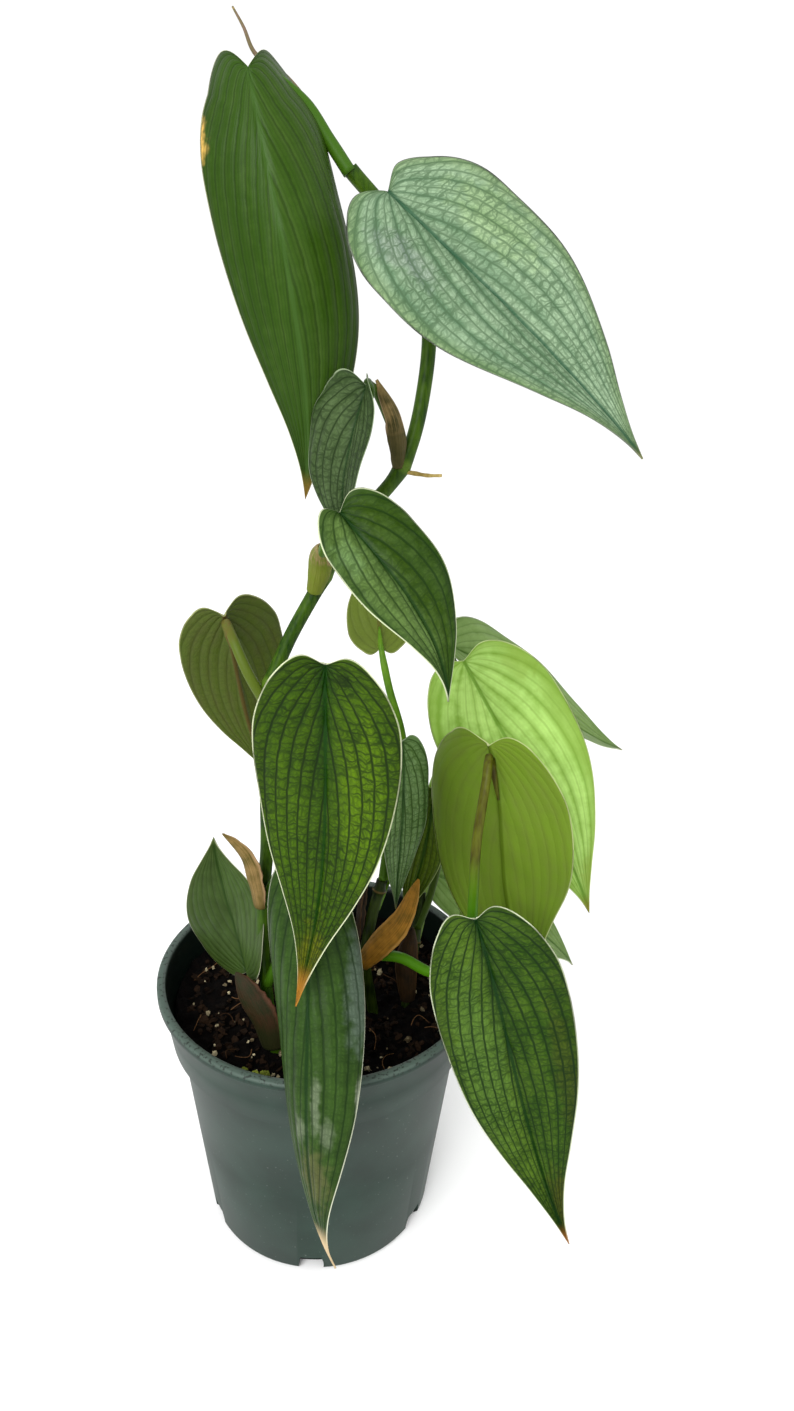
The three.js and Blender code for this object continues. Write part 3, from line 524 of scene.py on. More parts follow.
class FoliageSettings(bpy.types.PropertyGroup):
    """Sizes shared by all leaves and sheaths."""

    blade_thickness: bpy.props.FloatProperty(
        name="Blade thickness", description="Thickness of a blade", default=0.45 * MM, unit="LENGTH")
    vein_spacing: bpy.props.FloatProperty(
        name="Vein spacing", description="Between arching veins", default=3.3 * MM, unit="LENGTH")
    cell_length: bpy.props.FloatProperty(
        name="Cell length", description="Between cross veins", default=2.8 * MM, unit="LENGTH")
    quilt_depth: bpy.props.FloatProperty(
        name="Quilt depth", description="Rise of the lamina between main veins", default=0.22 * MM,
        unit="LENGTH")
    sheath_thickness: bpy.props.FloatProperty(
        name="Sheath thickness", description="Thickness of a sheath", default=0.35 * MM, unit="LENGTH")
    rows: bpy.props.IntProperty(
        name="Rows", description="Rows of a blade's mesh", default=110, min=20)
    columns: bpy.props.IntProperty(
        name="Columns", description="Columns of a blade's mesh", default=62, min=10)


def unit(vectors):
    """Vectors divided by their length."""
    return vectors / np.linalg.norm(vectors, axis=-1, keepdims=True)


def column(values):
    """Values with one more axis, to multiply vectors by."""
    return np.asarray(values, float)[..., None]


def smooth_through(knots, values, at):
    """Cubic pieces through the values at the knots, with the slope of the neighbours at each."""
    slopes = np.gradient(values, knots, axis=0)
    piece = np.clip(np.searchsorted(knots, at, side="right") - 1, 0, len(knots) - 2)
    width = column(knots[piece + 1] - knots[piece])
    s = column(at - knots[piece]) / width
    ends = (2 * s**3 - 3 * s**2 + 1) * values[piece] + (3 * s**2 - 2 * s**3) * values[piece + 1]
    return ends + (s**3 - 2 * s**2 + s) * width * slopes[piece] + (s**3 - s**2) * width * slopes[piece + 1]


def curve_at(points, at):
    """Smooth curve through points, with pieces timed by the square root of their length, at shares 0 to 1."""
    p = np.array(points, float)
    p = np.vstack([2 * p[0] - p[1], p, 2 * p[-1] - p[-2]])
    piece = np.minimum((at * (len(p) - 3)).astype(int), len(p) - 4)
    s = column(at * (len(p) - 3) - piece)
    x0, x1, x2, x3 = (p[piece + k] for k in range(4))
    d0, d1, d2 = (column(np.sqrt(np.linalg.norm(b - a, axis=1))) for a, b in ((x0, x1), (x1, x2), (x2, x3)))
    t1 = ((x1 - x0) / d0 - (x2 - x0) / (d0 + d1) + (x2 - x1) / d1) * d1
    t2 = ((x2 - x1) / d1 - (x3 - x1) / (d1 + d2) + (x3 - x2) / d2) * d1
    return x1 + t1 * s + (3 * x2 - 3 * x1 - 2 * t1 - t2) * s**2 + (2 * x1 - 2 * x2 + t1 + t2) * s**3


def even_curve(points, count):
    """Points at even steps along the smooth curve, their tangents, their shares of the length, the length."""
    fine = curve_at(points, np.linspace(0, 1, 600))
    run = np.concatenate([[0], np.cumsum(np.linalg.norm(np.diff(fine, axis=0), axis=1))])
    share = np.linspace(0, 1, count)
    place = np.stack([np.interp(share * run[-1], run, fine[:, k]) for k in range(3)], axis=1)
    return place, unit(np.gradient(place, axis=0)), share, run[-1]


def ripple(x, y, size, seed):
    """Rough field from about -1 to 1: twice the mean of eight cosine waves of about the given size."""
    draw = np.random.default_rng(seed)
    turn = draw.uniform(0, 2 * np.pi, 8)
    pace = 2 * np.pi / (size * draw.uniform(0.6, 1.6, 8))
    shift = draw.uniform(0, 2 * np.pi, 8)
    waves = np.cos(pace * (column(x) * np.cos(turn) + column(y) * np.sin(turn)) + shift)
    return waves.mean(axis=-1) * 2


def loft(rings):
    """Closed skin over a stack of closed rings: each end ring closes on a pole at its middle."""
    rows, columns = rings.shape[:2]
    ends = [rings[:1].mean(axis=1), rings[-1:].mean(axis=1)]
    points = np.concatenate([rings.reshape(-1, rings.shape[2]), *ends])
    row, place = np.meshgrid(np.arange(rows - 1), np.arange(columns), indexing="ij")
    after = (place + 1) % columns
    here, up = row * columns, (row + 1) * columns
    quads = np.stack([here + place, here + after, up + after, up + place], axis=-1).reshape(-1, 4)
    around = np.arange(columns)
    following = (around + 1) % columns
    pole = np.full(columns, rows * columns)
    low = np.stack([pole, following, around], axis=1)
    high = np.stack([pole + 1, (rows - 1) * columns + around, (rows - 1) * columns + following], axis=1)
    return points, quads, np.vstack([low, high])


def facing_out(points, quads, triangles):
    """Turns every face round if the skin encloses a negative volume."""
    corners = np.vstack([triangles, quads[:, [0, 1, 2]], quads[:, [0, 2, 3]]])
    a, b, c = (points[corners[:, k], :3] for k in range(3))
    if np.einsum("ij,ij->i", a, np.cross(b, c)).sum() < 0:
        return quads[:, ::-1], triangles[:, ::-1]
    return quads, triangles


def make_mesh(name, skins, smooth=True):
    """One mesh from lofted skins. A skin is rings of points in mm, rings of three values for each named
    attribute, and the skin's material."""
    points, faces, slots, materials = [], [], [], []
    names = sorted({key for _, values, _ in skins for key in values})
    fields = {key: [] for key in names}
    start = 0
    for rings, values, material in skins:
        blank = np.zeros((*rings.shape[:2], 3))
        stacked = np.concatenate([rings, *(values.get(key, blank) for key in names)], axis=2)
        all_points, quads, triangles = loft(stacked)
        quads, triangles = facing_out(all_points, quads, triangles)
        points.append(all_points[:, :3])
        for k, key in enumerate(names):
            fields[key].append(all_points[:, 3 + 3 * k:6 + 3 * k])
        faces += (quads + start).tolist() + (triangles + start).tolist()
        if material not in materials:
            materials.append(material)
        slots += [materials.index(material)] * (len(quads) + len(triangles))
        start += len(all_points)
    mesh = bpy.data.meshes.new(name)
    mesh.from_pydata((np.vstack(points) * MM).tolist(), [], faces)
    for key in names:
        data = np.vstack(fields[key]).astype(np.float32)
        mesh.attributes.new(key, "FLOAT_VECTOR", "POINT").data.foreach_set("vector", data.ravel())
    for material in materials:
        mesh.materials.append(material)
    mesh.polygons.foreach_set("material_index", np.array(slots, np.int32))
    mesh.polygons.foreach_set("use_smooth", np.full(len(mesh.polygons), smooth))
    mesh.update()
    return mesh


def make_piece(name, skins, replaced=(), smooth=True):
    """Object of lofted skins that rides on the part and stands for the replaced nodes."""
    piece = bpy.data.objects.new(name, make_mesh(name, skins, smooth))
    bpy.context.scene.collection.objects.link(piece)
    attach(piece, BODY)
    if replaced:
        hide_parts(*replaced)
    return piece


def tube(points, radius_at, sides, rows, away=(0, -1, 0)):
    """Rings round a smooth curve. radius_at gives the radius from the share of the length and the angle,
    which counts from the side that looks away. Along holds the share, the turn and the distance in mm."""
    place, tangent, share, length = even_curve(points, rows)
    side = unit(np.cross(tangent, np.array(away, float)))
    front = np.cross(side, tangent)
    angle = np.linspace(0, 2 * np.pi, sides, endpoint=False)
    reach = radius_at(share[:, None], angle[None, :]) * np.ones((rows, sides))
    ring = np.cos(angle)[None, :, None] * front[:, None] + np.sin(angle)[None, :, None] * side[:, None]
    fields = np.broadcast_arrays(share[:, None], angle[None, :] / (2 * np.pi), share[:, None] * length)
    return place[:, None] + column(reach) * ring, {"along": np.stack(fields, axis=2)}


def direction(angles):
    """Direction from azimuth and elevation in degrees. Azimuth 0 looks to the front."""
    azimuth, elevation = np.radians(angles)
    level = np.cos(elevation)
    return np.array([np.sin(azimuth) * level, -np.cos(azimuth) * level, np.sin(elevation)])


def blade_surface(leaf, f, y, half):
    """Middle surface of a blade and its upward normal. f is the share of the length, y the distance from
    the midrib in mm and half is -1 on the left and 1 on the right. Each half rises from the midrib at its
    fold angle and bends on by its curl; the midrib bows, sways and twists along the chord."""
    base = np.array(leaf["base"], float)
    along = np.array(leaf["tip"], float) - base
    chord = unit(along)
    side = unit(np.cross(direction(leaf["face"]), chord))
    out = np.cross(chord, side)
    right = half > 0
    reach = leaf["width"] / 2
    fold = np.radians(np.where(right, leaf["fold"][1], leaf["fold"][0]))
    bend = (np.radians(np.where(right, leaf["curl"][1], leaf["curl"][0])) + 1e-6) / reach
    across = (np.sin(fold) - np.sin(fold - bend * y)) / bend
    rise = (np.cos(fold - bend * y) - np.cos(fold)) / bend
    rise += leaf["lift"] * (np.maximum(0, NOTCH_ZONE - f) / NOTCH_REACH) ** 2 * (y / reach)
    rise += leaf["wave"] * np.sin(2 * np.pi * (WAVES_ALONG * f + WAVE_SHIFT * half)) * (y / reach) ** 2
    middle = base + column(f) * along + column(leaf["bow"] * 4 * f * (1 - f)) * out
    middle += column(leaf["sway"] * 6.75 * f * np.abs(f) * (1 - f)) * side
    tangent = along + column(leaf["bow"] * 4 * (1 - 2 * f)) * out
    tangent = unit(tangent + column(leaf["sway"] * 6.75 * (2 * np.abs(f) - 3 * f * np.abs(f))) * side)
    level = unit(side - tangent * column(tangent @ side))
    normal = np.cross(tangent, level)
    twist = np.radians(leaf["twist"]) * np.clip(f, 0, 1)
    turned = level * column(np.cos(twist)) + normal * column(np.sin(twist))
    normal = normal * column(np.cos(twist)) - level * column(np.sin(twist))
    slope = np.where(y > 0, fold - bend * y, 0)
    point = middle + column(half * across) * turned + column(rise) * normal
    return point, normal * column(np.cos(slope)) - turned * column(half * np.sin(slope))


def blade_relief(leaf, foliage, u, away, lane, across, along, upper):
    """Lift of a blade's skin off its middle surface, in mm: half the thickness, with a groove along the
    midrib above and a rib below, and the same dome on both sides. The dome rises between the arching veins,
    over slow bumps and hollows, and fades at the margin and at both ends."""
    calm = (1 - away**4) * np.sin(np.pi * np.clip(u, 0, 1)) ** 0.6
    pucker = 0.3 + 0.8 * LEAF_FINISHES[leaf["finish"]]["net"]
    dome = foliage.quilt_depth / MM * pucker * (0.5 - 0.5 * np.cos(np.pi * lane))
    dome += VEIN_CREST * np.abs(np.sin(np.pi * lane)) + BUMPS[0] * ripple(across, along, BUMPS[1], SEED)
    for y, x, radius, depth in leaf.get("dents", ()):
        dome -= depth * np.exp(-(np.hypot(across - y, along - x) / radius) ** 2)
    groove = GROOVE[0] * np.exp(-((across / GROOVE[1]) ** 2)) * (1 - u) ** 0.3
    rib = (RIB_AT_TIP + RIB[0] * (1 - u)) * np.exp(-((across / RIB[1]) ** 2))
    body = foliage.blade_thickness / MM / 2 * np.sqrt(1 - away**8)
    return dome * calm + np.where(upper > 0, body - groove, -body - rib)


def blade_skin(leaf, foliage):
    """Closed skin of a blade. Its ring at u lies at f = (1 - |v|) u + |v| margin(u), from the left margin,
    v = -1, over the upper face to the right, v = 1, and back below."""
    even = np.linspace(0.003, 0.998, foliage.rows)
    share = 0.65 * even + 0.35 * (1 - np.cos(np.pi * even)) / 2
    margin = smooth_through(OUTLINE[:, 0], OUTLINE[:, 1:], share)
    margin_f = column(np.where(margin[:, 0] < 0, margin[:, 0] * leaf["lobe"], margin[:, 0]))
    margin_y = column(np.maximum(margin[:, 1], 0))
    way = np.linspace(0, 4, 2 * foliage.columns, endpoint=False)
    v = np.where(way < 2, way - 1, 3 - way)
    u, v = np.meshgrid(share, np.sign(v) * np.abs(v) ** 1.25, indexing="ij")
    upper = np.where(way < 2, 1.0, 0.0) * np.ones_like(u)
    away = np.abs(v)
    half = np.where(v < 0, -1.0, 1.0)
    part = np.where(v < 0, leaf["share"][0], leaf["share"][1]) * leaf["width"] / 2
    length = math.dist(leaf["tip"], leaf["base"])
    f = (1 - away) * u + away * margin_f
    y = away * margin_y * part
    point, normal = blade_surface(leaf, f, y, half)
    to_margin = (1 - away) * np.hypot(margin_y * part, (margin_f - u) * length)
    lane_count = max(4, round(leaf["width"] / 2 * MM / foliage.vein_spacing))
    lane = (away + VEIN_SWEEP * (1 - u) ** 3) * lane_count
    lift = blade_relief(leaf, foliage, u, away, lane, y * half, f * length, upper)
    lanes = np.stack([lane, f * length / (foliage.cell_length / MM), upper], axis=2)
    edges = np.stack([to_margin, y * half, f * length], axis=2)
    return point + column(lift) * normal, {"lanes": lanes, "edges": edges}


def stalk_skin(leaf):
    """Leafstalk: a tube with a shallow channel that grows out of the midrib's underside by the notch."""
    thin, thick = leaf["radii"]
    root, normal = blade_surface(leaf, np.array(STALK_ROOT), np.zeros(3), np.ones(3))
    sunk = column(STALK_DEPTH) + column(STALK_DEEPER) * thin
    line = np.vstack([root - normal * sunk, leaf["petiole"]])

    def radius_at(share, angle):
        grown = STALK_START + (1 - STALK_START) * np.clip(share / STALK_FULL, 0, 1) ** 0.8
        channel = 1 - STALK_CHANNEL[0] * np.exp(-(((angle - np.pi) / STALK_CHANNEL[1]) ** 2))
        return (thin + (thick - thin) * share) * grown * channel

    return tube(line, radius_at, 16, 56, direction(leaf["face"]))


def sheath_skin(sheath, foliage, seed):
    """Closed skin of a thin blade rolled round its middle line. Its width grows from the foot and closes to a
    point; fine ribs run along it, and its edges flare and are torn a little."""
    rows, columns = SHEATH_MESH
    t = np.linspace(0.004, 0.996, rows)
    middle = curve_at(sheath["points"], t)
    tangent = unit(np.gradient(middle, axis=0))
    side = unit(np.cross(direction(sheath["face"]), tangent))
    out = np.cross(tangent, side)
    wrap = math.radians(sheath["wrap"])
    width = sheath["width"] * (SHEATH_SPREAD[0] + SHEATH_SPREAD[1] * t) * (1 - t**2.2) ** 0.75
    radius = column(np.maximum(width / wrap, SHEATH_LEAST_RADIUS - 0.1 * t**4))
    way = np.linspace(0, 4, 2 * columns, endpoint=False)
    v = np.where(way < 2, way - 1, 3 - way)
    t, v = np.meshgrid(t, v, indexing="ij")
    over = np.where(way < 2, 1.0, -1.0) * np.ones_like(t)
    torn = 1 + SHEATH_TEAR * ripple(t * 30, np.sign(v) * 9, 4, seed) * np.abs(v) ** 3
    turn = wrap / 2 * v * torn
    away = column(np.cos(turn)) * out[:, None] + column(np.sin(turn)) * side[:, None]
    ribs = SHEATH_RIBS[0] * np.cos(v * SHEATH_RIBS[1]) + SHEATH_BUCKLE * ripple(t * 20, v * 6, 7, seed + 1)
    flare = SHEATH_FLARE * np.abs(v) ** 6 * np.sin(np.pi * t) * radius
    body = foliage.sheath_thickness / MM / 2 * np.sqrt(1 - np.abs(v) ** 8) * over
    reach = radius + ribs * np.sin(np.pi * t) ** 0.4 + flare + body
    rings = middle[:, None] - column(radius) * out[:, None] + column(reach) * away
    return rings, {"along": np.stack([t, v, over], axis=2)}


# Settings that many nodes share
SOFT = {"interpolation_type": "SMOOTHSTEP"}
COLOURS = {"data_type": "RGBA"}


def add(tree, kind, inputs=(), **settings):
    """Adds a shader node with its settings, sets or links its inputs, and gives its outputs. The inputs are a
    list in the order of the node's sockets, or a dictionary of sockets by name or number."""
    node = tree.nodes.new("ShaderNode" + kind)
    for key, value in settings.items():
        setattr(node, key, value)
    numbered = inputs if isinstance(inputs, dict) else dict(enumerate(inputs))
    for key, value in numbered.items():
        if isinstance(value, bpy.types.NodeSocket):
            tree.links.new(value, node.inputs[key])
        else:
            node.inputs[key].default_value = value
    return node.outputs


def new_material(name):
    """Material with an empty node tree."""
    material = bpy.data.materials.new(name)
    material.use_nodes = True
    material.node_tree.nodes.clear()
    return material, material.node_tree


def surface(tree, colour, rough, ior, shine, height, strength, depth, glow=0):
    """Ends a material: relief of the given depth in mm, its sheen, and the share of light it lets through."""
    bump = add(tree, "Bump", {"Strength": strength, "Distance": depth * MM, "Height": height})[0]
    body = add(tree, "BsdfPrincipled", {
        "Base Color": colour, "Roughness": rough, "IOR": ior, "Specular IOR Level": shine, "Normal": bump})[0]
    if glow:
        through = add(tree, "BsdfTranslucent", {"Color": colour, "Normal": bump})[0]
        body = add(tree, "MixShader", [glow, body, through])[0]
    add(tree, "OutputMaterial", [body])


def lamina_fields(tree):
    """What the patterns of a lamina read: the lane between arching veins and the cell along it, whether the
    side is the upper one, the distances to the margin, the midrib and the notch in mm, a fine waver and
    wide patches, and the lane bent by the waver."""
    lanes = add(tree, "Attribute", attribute_name="lanes")["Vector"]
    edges = add(tree, "Attribute", attribute_name="edges")["Vector"]
    place = add(tree, "TexCoord")["Object"]
    at = dict(zip(("lane", "cell", "top"), add(tree, "SeparateXYZ", [lanes])))
    at.update(zip(("margin", "across", "along"), add(tree, "SeparateXYZ", [edges])))
    at["waver"] = add(tree, "TexNoise", {"Vector": place, "Scale": 1 / (VEIN_WAVER * MM), "Detail": 2})[0]
    at["patches"] = add(tree, "TexNoise", {"Vector": place, "Scale": 1 / (LAMINA_PATCH * MM), "Detail": 4})[0]
    at["bent"] = add(tree, "Math", [at["waver"], VEIN_BEND, at["lane"]], operation="MULTIPLY_ADD")[0]
    return at


def cross_veins(tree, finish, at):
    """Each lane has its own crooked rungs, and over them lies a net of two sizes."""
    row = add(tree, "Math", [at["bent"]], operation="FLOOR")[0]
    shift = add(tree, "TexWhiteNoise", {"W": row}, noise_dimensions="1D")[0]
    run = add(tree, "Math", [shift, RUNG_SHIFT, at["cell"]], operation="MULTIPLY_ADD")[0]
    run = add(tree, "Math", [at["waver"], RUNG_BEND, run], operation="MULTIPLY_ADD")[0]
    rungs = add(tree, "TexVoronoi", {"W": run, "Scale": 1}, voronoi_dimensions="1D",
                feature="DISTANCE_TO_EDGE")[0]
    lines = [add(tree, "MapRange", [rungs, *RUNG_EDGE, 0, finish["cross"]], **SOFT)[0]]
    strayed = add(tree, "Math", [at["waver"], NET_BEND, at["lane"]], operation="MULTIPLY_ADD")[0]
    flat = add(tree, "CombineXYZ", [strayed, run])[0]
    for scale, share in NETS:
        net = add(tree, "TexVoronoi", {"Vector": flat, "Scale": scale}, voronoi_dimensions="2D",
                  feature="DISTANCE_TO_EDGE")[0]
        lines.append(add(tree, "MapRange", [net, *NET_EDGE, 0, share * finish["cross"]], **SOFT)[0])
    return lines


def vein_pattern(tree, finish, at):
    """Arching veins at whole lanes, faint lines at every third of a lane and the cross veins. Gives the
    distance to the nearest vein, all the lines, and how strongly they colour the lamina: the arching veins
    everywhere, the others less in some patches."""
    near = add(tree, "Math", [at["bent"], 0.5], operation="PINGPONG")[0]
    vein = add(tree, "MapRange", [near, *VEIN_EDGE], **SOFT)[0]
    thirds = add(tree, "Math", [at["bent"], 3], operation="MULTIPLY")[0]
    beside = add(tree, "Math", [thirds, 0.5], operation="PINGPONG")[0]
    thin = add(tree, "MapRange", [beside, *THIN_EDGE, 0, finish["faint"]])[0]
    lines = vein
    for pattern in (thin, *cross_veins(tree, finish, at)):
        lines = add(tree, "Math", [lines, pattern], operation="MAXIMUM")[0]
    fade = add(tree, "MapRange", [at["patches"], 0.35, 0.6, 0.65, 1])[0]
    fade = add(tree, "Math", [fade, finish["net"]], operation="MULTIPLY")[0]
    faded = add(tree, "Math", [lines, fade], operation="MULTIPLY")[0]
    main = add(tree, "Math", [vein, finish["net"]], operation="MULTIPLY")[0]
    return near, lines, add(tree, "Math", [faded, main], operation="MAXIMUM")[0]


def lamina_shade(tree, leaf, finish, at):
    """How far the lamina goes to its second shade: by half, in patches, in a fine grain, and in soft valleys
    along every second vein. A difference between the halves is painted light and shade; the valleys are
    painted shade in the creases, a painted highlight where the second shade is paler, and on some leaves a
    band of their own colour."""
    left, right = leaf["tint"]
    # The halves differ by painted light and shade: one half paler as it catches the light, the other darker
    shade = add(tree, "MapRange", [at["across"], -HALF_BLEND, HALF_BLEND, left, right])[0]
    for noise in (at["patches"], at["waver"]):
        drift = add(tree, "MapRange", [noise, *NOISE_SPAN, -SHADE_DRIFT, SHADE_DRIFT])[0]
        shade = add(tree, "Math", [shade, drift], operation="ADD")[0]
    # Painted shade in the creases along every second vein, and a painted highlight there where the second
    # shade is paler
    halved = add(tree, "Math", [at["bent"], 0.5], operation="MULTIPLY")[0]
    far = add(tree, "Math", [halved, 0.5], operation="PINGPONG")[0]
    valley = add(tree, "MapRange", [far, *VALLEY_EDGE, 0, finish["valley"]], **SOFT)[0]
    return add(tree, "Math", [shade, valley], operation="ADD", use_clamp=True)[0]


def mark_mask(tree, at, mark):
    """Soft ragged patch at a distance from the midrib and from the notch."""
    y, x, half_width, half_length, _, strength = mark
    across = add(tree, "Math", [at["across"], 1 / half_width, -y / half_width], operation="MULTIPLY_ADD")[0]
    along = add(tree, "Math", [at["along"], 1 / half_length, -x / half_length], operation="MULTIPLY_ADD")[0]
    offset = add(tree, "CombineXYZ", [across, along])[0]
    reach = add(tree, "VectorMath", [offset], operation="LENGTH")[1]
    ragged = add(tree, "Math", [at["waver"], MARK_RAGS, reach], operation="MULTIPLY_ADD")[0]
    return add(tree, "MapRange", [ragged, *MARK_EDGE, 0, strength], **SOFT)[0]


def upper_colour(tree, leaf, finish, at, offset, shade, veins):
    """Upper side: the lamina with its border, its deeper zone along the midrib, its marks (stains, painted
    highlights, painted shade and a painted reflection) and its veins.
    """
    length = math.dist(leaf["tip"], leaf["base"])
    border = add(tree, "MapRange", [at["margin"], *BORDER_ZONE, 0, 0.6])[0]
    deep = add(tree, "MapRange", [offset, *HEART_ZONE, 0, finish["heart"]], **SOFT)[0]
    upward = add(tree, "MapRange", [at["along"], 0.8 * length, 0.1 * length])[0]
    deep = add(tree, "Math", [deep, upward], operation="MULTIPLY")[0]
    layers = [(shade, finish["shade"]), (border, finish["border"]), (deep, finish["rib"])]
    layers += [(mark_mask(tree, at, mark), mark[4]) for mark in leaf.get("marks", ())]
    colour = srgb(finish["lamina"])
    for mask, code in (*layers, (veins, finish["veins"])):
        colour = add(tree, "Mix", {0: mask, 6: colour, 7: srgb(code)}, **COLOURS)[2]
    return colour


def lower_colour(tree, finish, shade, veins):
    """Lower side: duller, with less of the second shade and fainter veins."""
    colour = srgb(finish["under"])
    for mask, share, code in ((shade, 0.6, finish["shade"]), (veins, 0.5, finish["veins"])):
        weak = add(tree, "Math", [mask, share], operation="MULTIPLY")[0]
        colour = add(tree, "Mix", {0: weak, 6: colour, 7: srgb(code)}, **COLOURS)[2]
    return colour


def leaf_material(leaf, finish):
    """Waxy living lamina: dark arching veins with a weaker one between each two, ladders of cross veins and a
    fine net round paler cells, a pale thin margin and a dry tip. It has a soft sheen above, is duller below
    and lets a little light through."""
    material, tree = new_material(leaf["name"] + "_lamina")
    at = lamina_fields(tree)
    near, lines, veins = vein_pattern(tree, finish, at)
    shade = lamina_shade(tree, leaf, finish, at)
    offset = add(tree, "Math", [at["across"]], operation="ABSOLUTE")[0]
    upper = upper_colour(tree, leaf, finish, at, offset, shade, veins)
    lower = lower_colour(tree, finish, shade, veins)
    side = add(tree, "Math", [at["top"], 0.5], operation="GREATER_THAN")[0]
    colour = add(tree, "Mix", {0: side, 6: lower, 7: upper}, **COLOURS)[2]

    # The midrib, the margin and the tip look the same on both sides
    length = math.dist(leaf["tip"], leaf["base"])
    dry_zone = (finish["dry"] * length, (finish["dry"] + DRY_FADE) * length)
    rib = add(tree, "MapRange", [offset, *RIB_LINE, 0, 0.8], **SOFT)[0]
    pale = add(tree, "MapRange", [at["margin"], *MARGIN_LINE, 0, 0.9], **SOFT)[0]
    dry = add(tree, "MapRange", [at["along"], *dry_zone], **SOFT)[0]
    for mask, code in ((rib, finish["rib"]), (pale, finish["margin"]), (dry, finish["tip"])):
        colour = add(tree, "Mix", {0: mask, 6: colour, 7: srgb(code)}, **COLOURS)[2]

    # The cells swell between sunken lines, more where the veins are strong
    quilt = add(tree, "MapRange", [near, 0, 0.4], **SOFT)[0]
    relief = add(tree, "Math", [lines, -0.4, quilt], operation="MULTIPLY_ADD")[0]
    rough = add(tree, "MapRange", [at["patches"], 0.3, 0.7, 0.36, 0.5])[0]
    surface(tree, colour, rough, ior=1.45, shine=0.12, height=relief, strength=0.2 + 0.6 * finish["net"],
            depth=0.28, glow=finish["glow"])
    return material


def stem_material(name, young, old, ring=None, nodes=(), foot=None):
    """Waxy stem: satin, streaked lengthwise between two tones, with ring scars at the nodes. A
    leafstalk turns to a third colour toward its foot."""
    material, tree = new_material(name)
    along = add(tree, "Attribute", attribute_name="along")["Vector"]
    place = add(tree, "TexCoord")["Object"]
    share = add(tree, "SeparateXYZ", [along])[0]
    pace = [1 / (size * MM) for size in RIND_STREAK]
    stretched = add(tree, "VectorMath", [place, pace], operation="MULTIPLY")[0]
    streaks = add(tree, "TexNoise", {"Vector": stretched, "Scale": 1, "Detail": 4})[0]
    mottle = add(tree, "TexNoise", {"Vector": place, "Scale": 1 / (RIND_MOTTLE * MM), "Detail": 3})[0]
    mixed = add(tree, "Math", [streaks, mottle], operation="ADD")[0]
    layers = [(add(tree, "MapRange", [mixed, 0.75, 1.25])[0], old)]
    if foot:
        layers.append((add(tree, "MapRange", [share, *STALK_FOOT])[0], foot))
    for node in nodes:
        gap = add(tree, "Math", [share, node], operation="SUBTRACT")[0]
        gap = add(tree, "Math", [gap], operation="ABSOLUTE")[0]
        layers.append((add(tree, "MapRange", [gap, *SCAR_EDGE, 0, 0.75], **SOFT)[0], ring))
    colour = srgb(young)
    for mask, code in layers:
        colour = add(tree, "Mix", {0: mask, 6: colour, 7: srgb(code)}, **COLOURS)[2]
    surface(tree, colour, 0.45, ior=1.45, shine=0.16, height=mixed, strength=0.5, depth=0.2)
    return material


def sheath_material(name, paper, streak, edge, foot_top):
    """Dry papery sheath: fine lengthwise fibres, darker streaks, a dark foot and a paler torn edge. It is
    dull and lets some light through."""
    material, tree = new_material(name)
    along = add(tree, "Attribute", attribute_name="along")["Vector"]
    place = add(tree, "TexCoord")["Object"]
    share, across, _ = add(tree, "SeparateXYZ", [along])
    stretched = add(tree, "VectorMath", [along, FIBRES_TO_SHEATH], operation="MULTIPLY")[0]
    fibres = add(tree, "TexNoise", {"Vector": stretched, "Scale": 1, "Detail": 5})[0]
    mottle = add(tree, "TexNoise", {"Vector": place, "Scale": 1 / (PAPER_MOTTLE * MM), "Detail": 4})[0]
    both = add(tree, "Math", [fibres, mottle], operation="ADD")[0]
    grade = add(tree, "MapRange", [both, 0.8, 1.2])[0]
    side = add(tree, "Math", [across], operation="ABSOLUTE")[0]
    torn = add(tree, "Math", [mottle, 0.3, side], operation="MULTIPLY_ADD")[0]
    rim = add(tree, "MapRange", [torn, *TORN_EDGE, 0, 0.8])[0]
    foot = add(tree, "MapRange", [share, foot_top, foot_top - SHEATH_FOOT_FADE, 0, 0.85])[0]
    colour = srgb(paper)
    for mask, code in ((grade, streak), (rim, edge), (foot, streak)):
        colour = add(tree, "Mix", {0: mask, 6: colour, 7: srgb(code)}, **COLOURS)[2]
    surface(tree, colour, 0.62, ior=1.5, shine=0.25, height=fibres, strength=0.7, depth=0.3, glow=0.2)
    return material


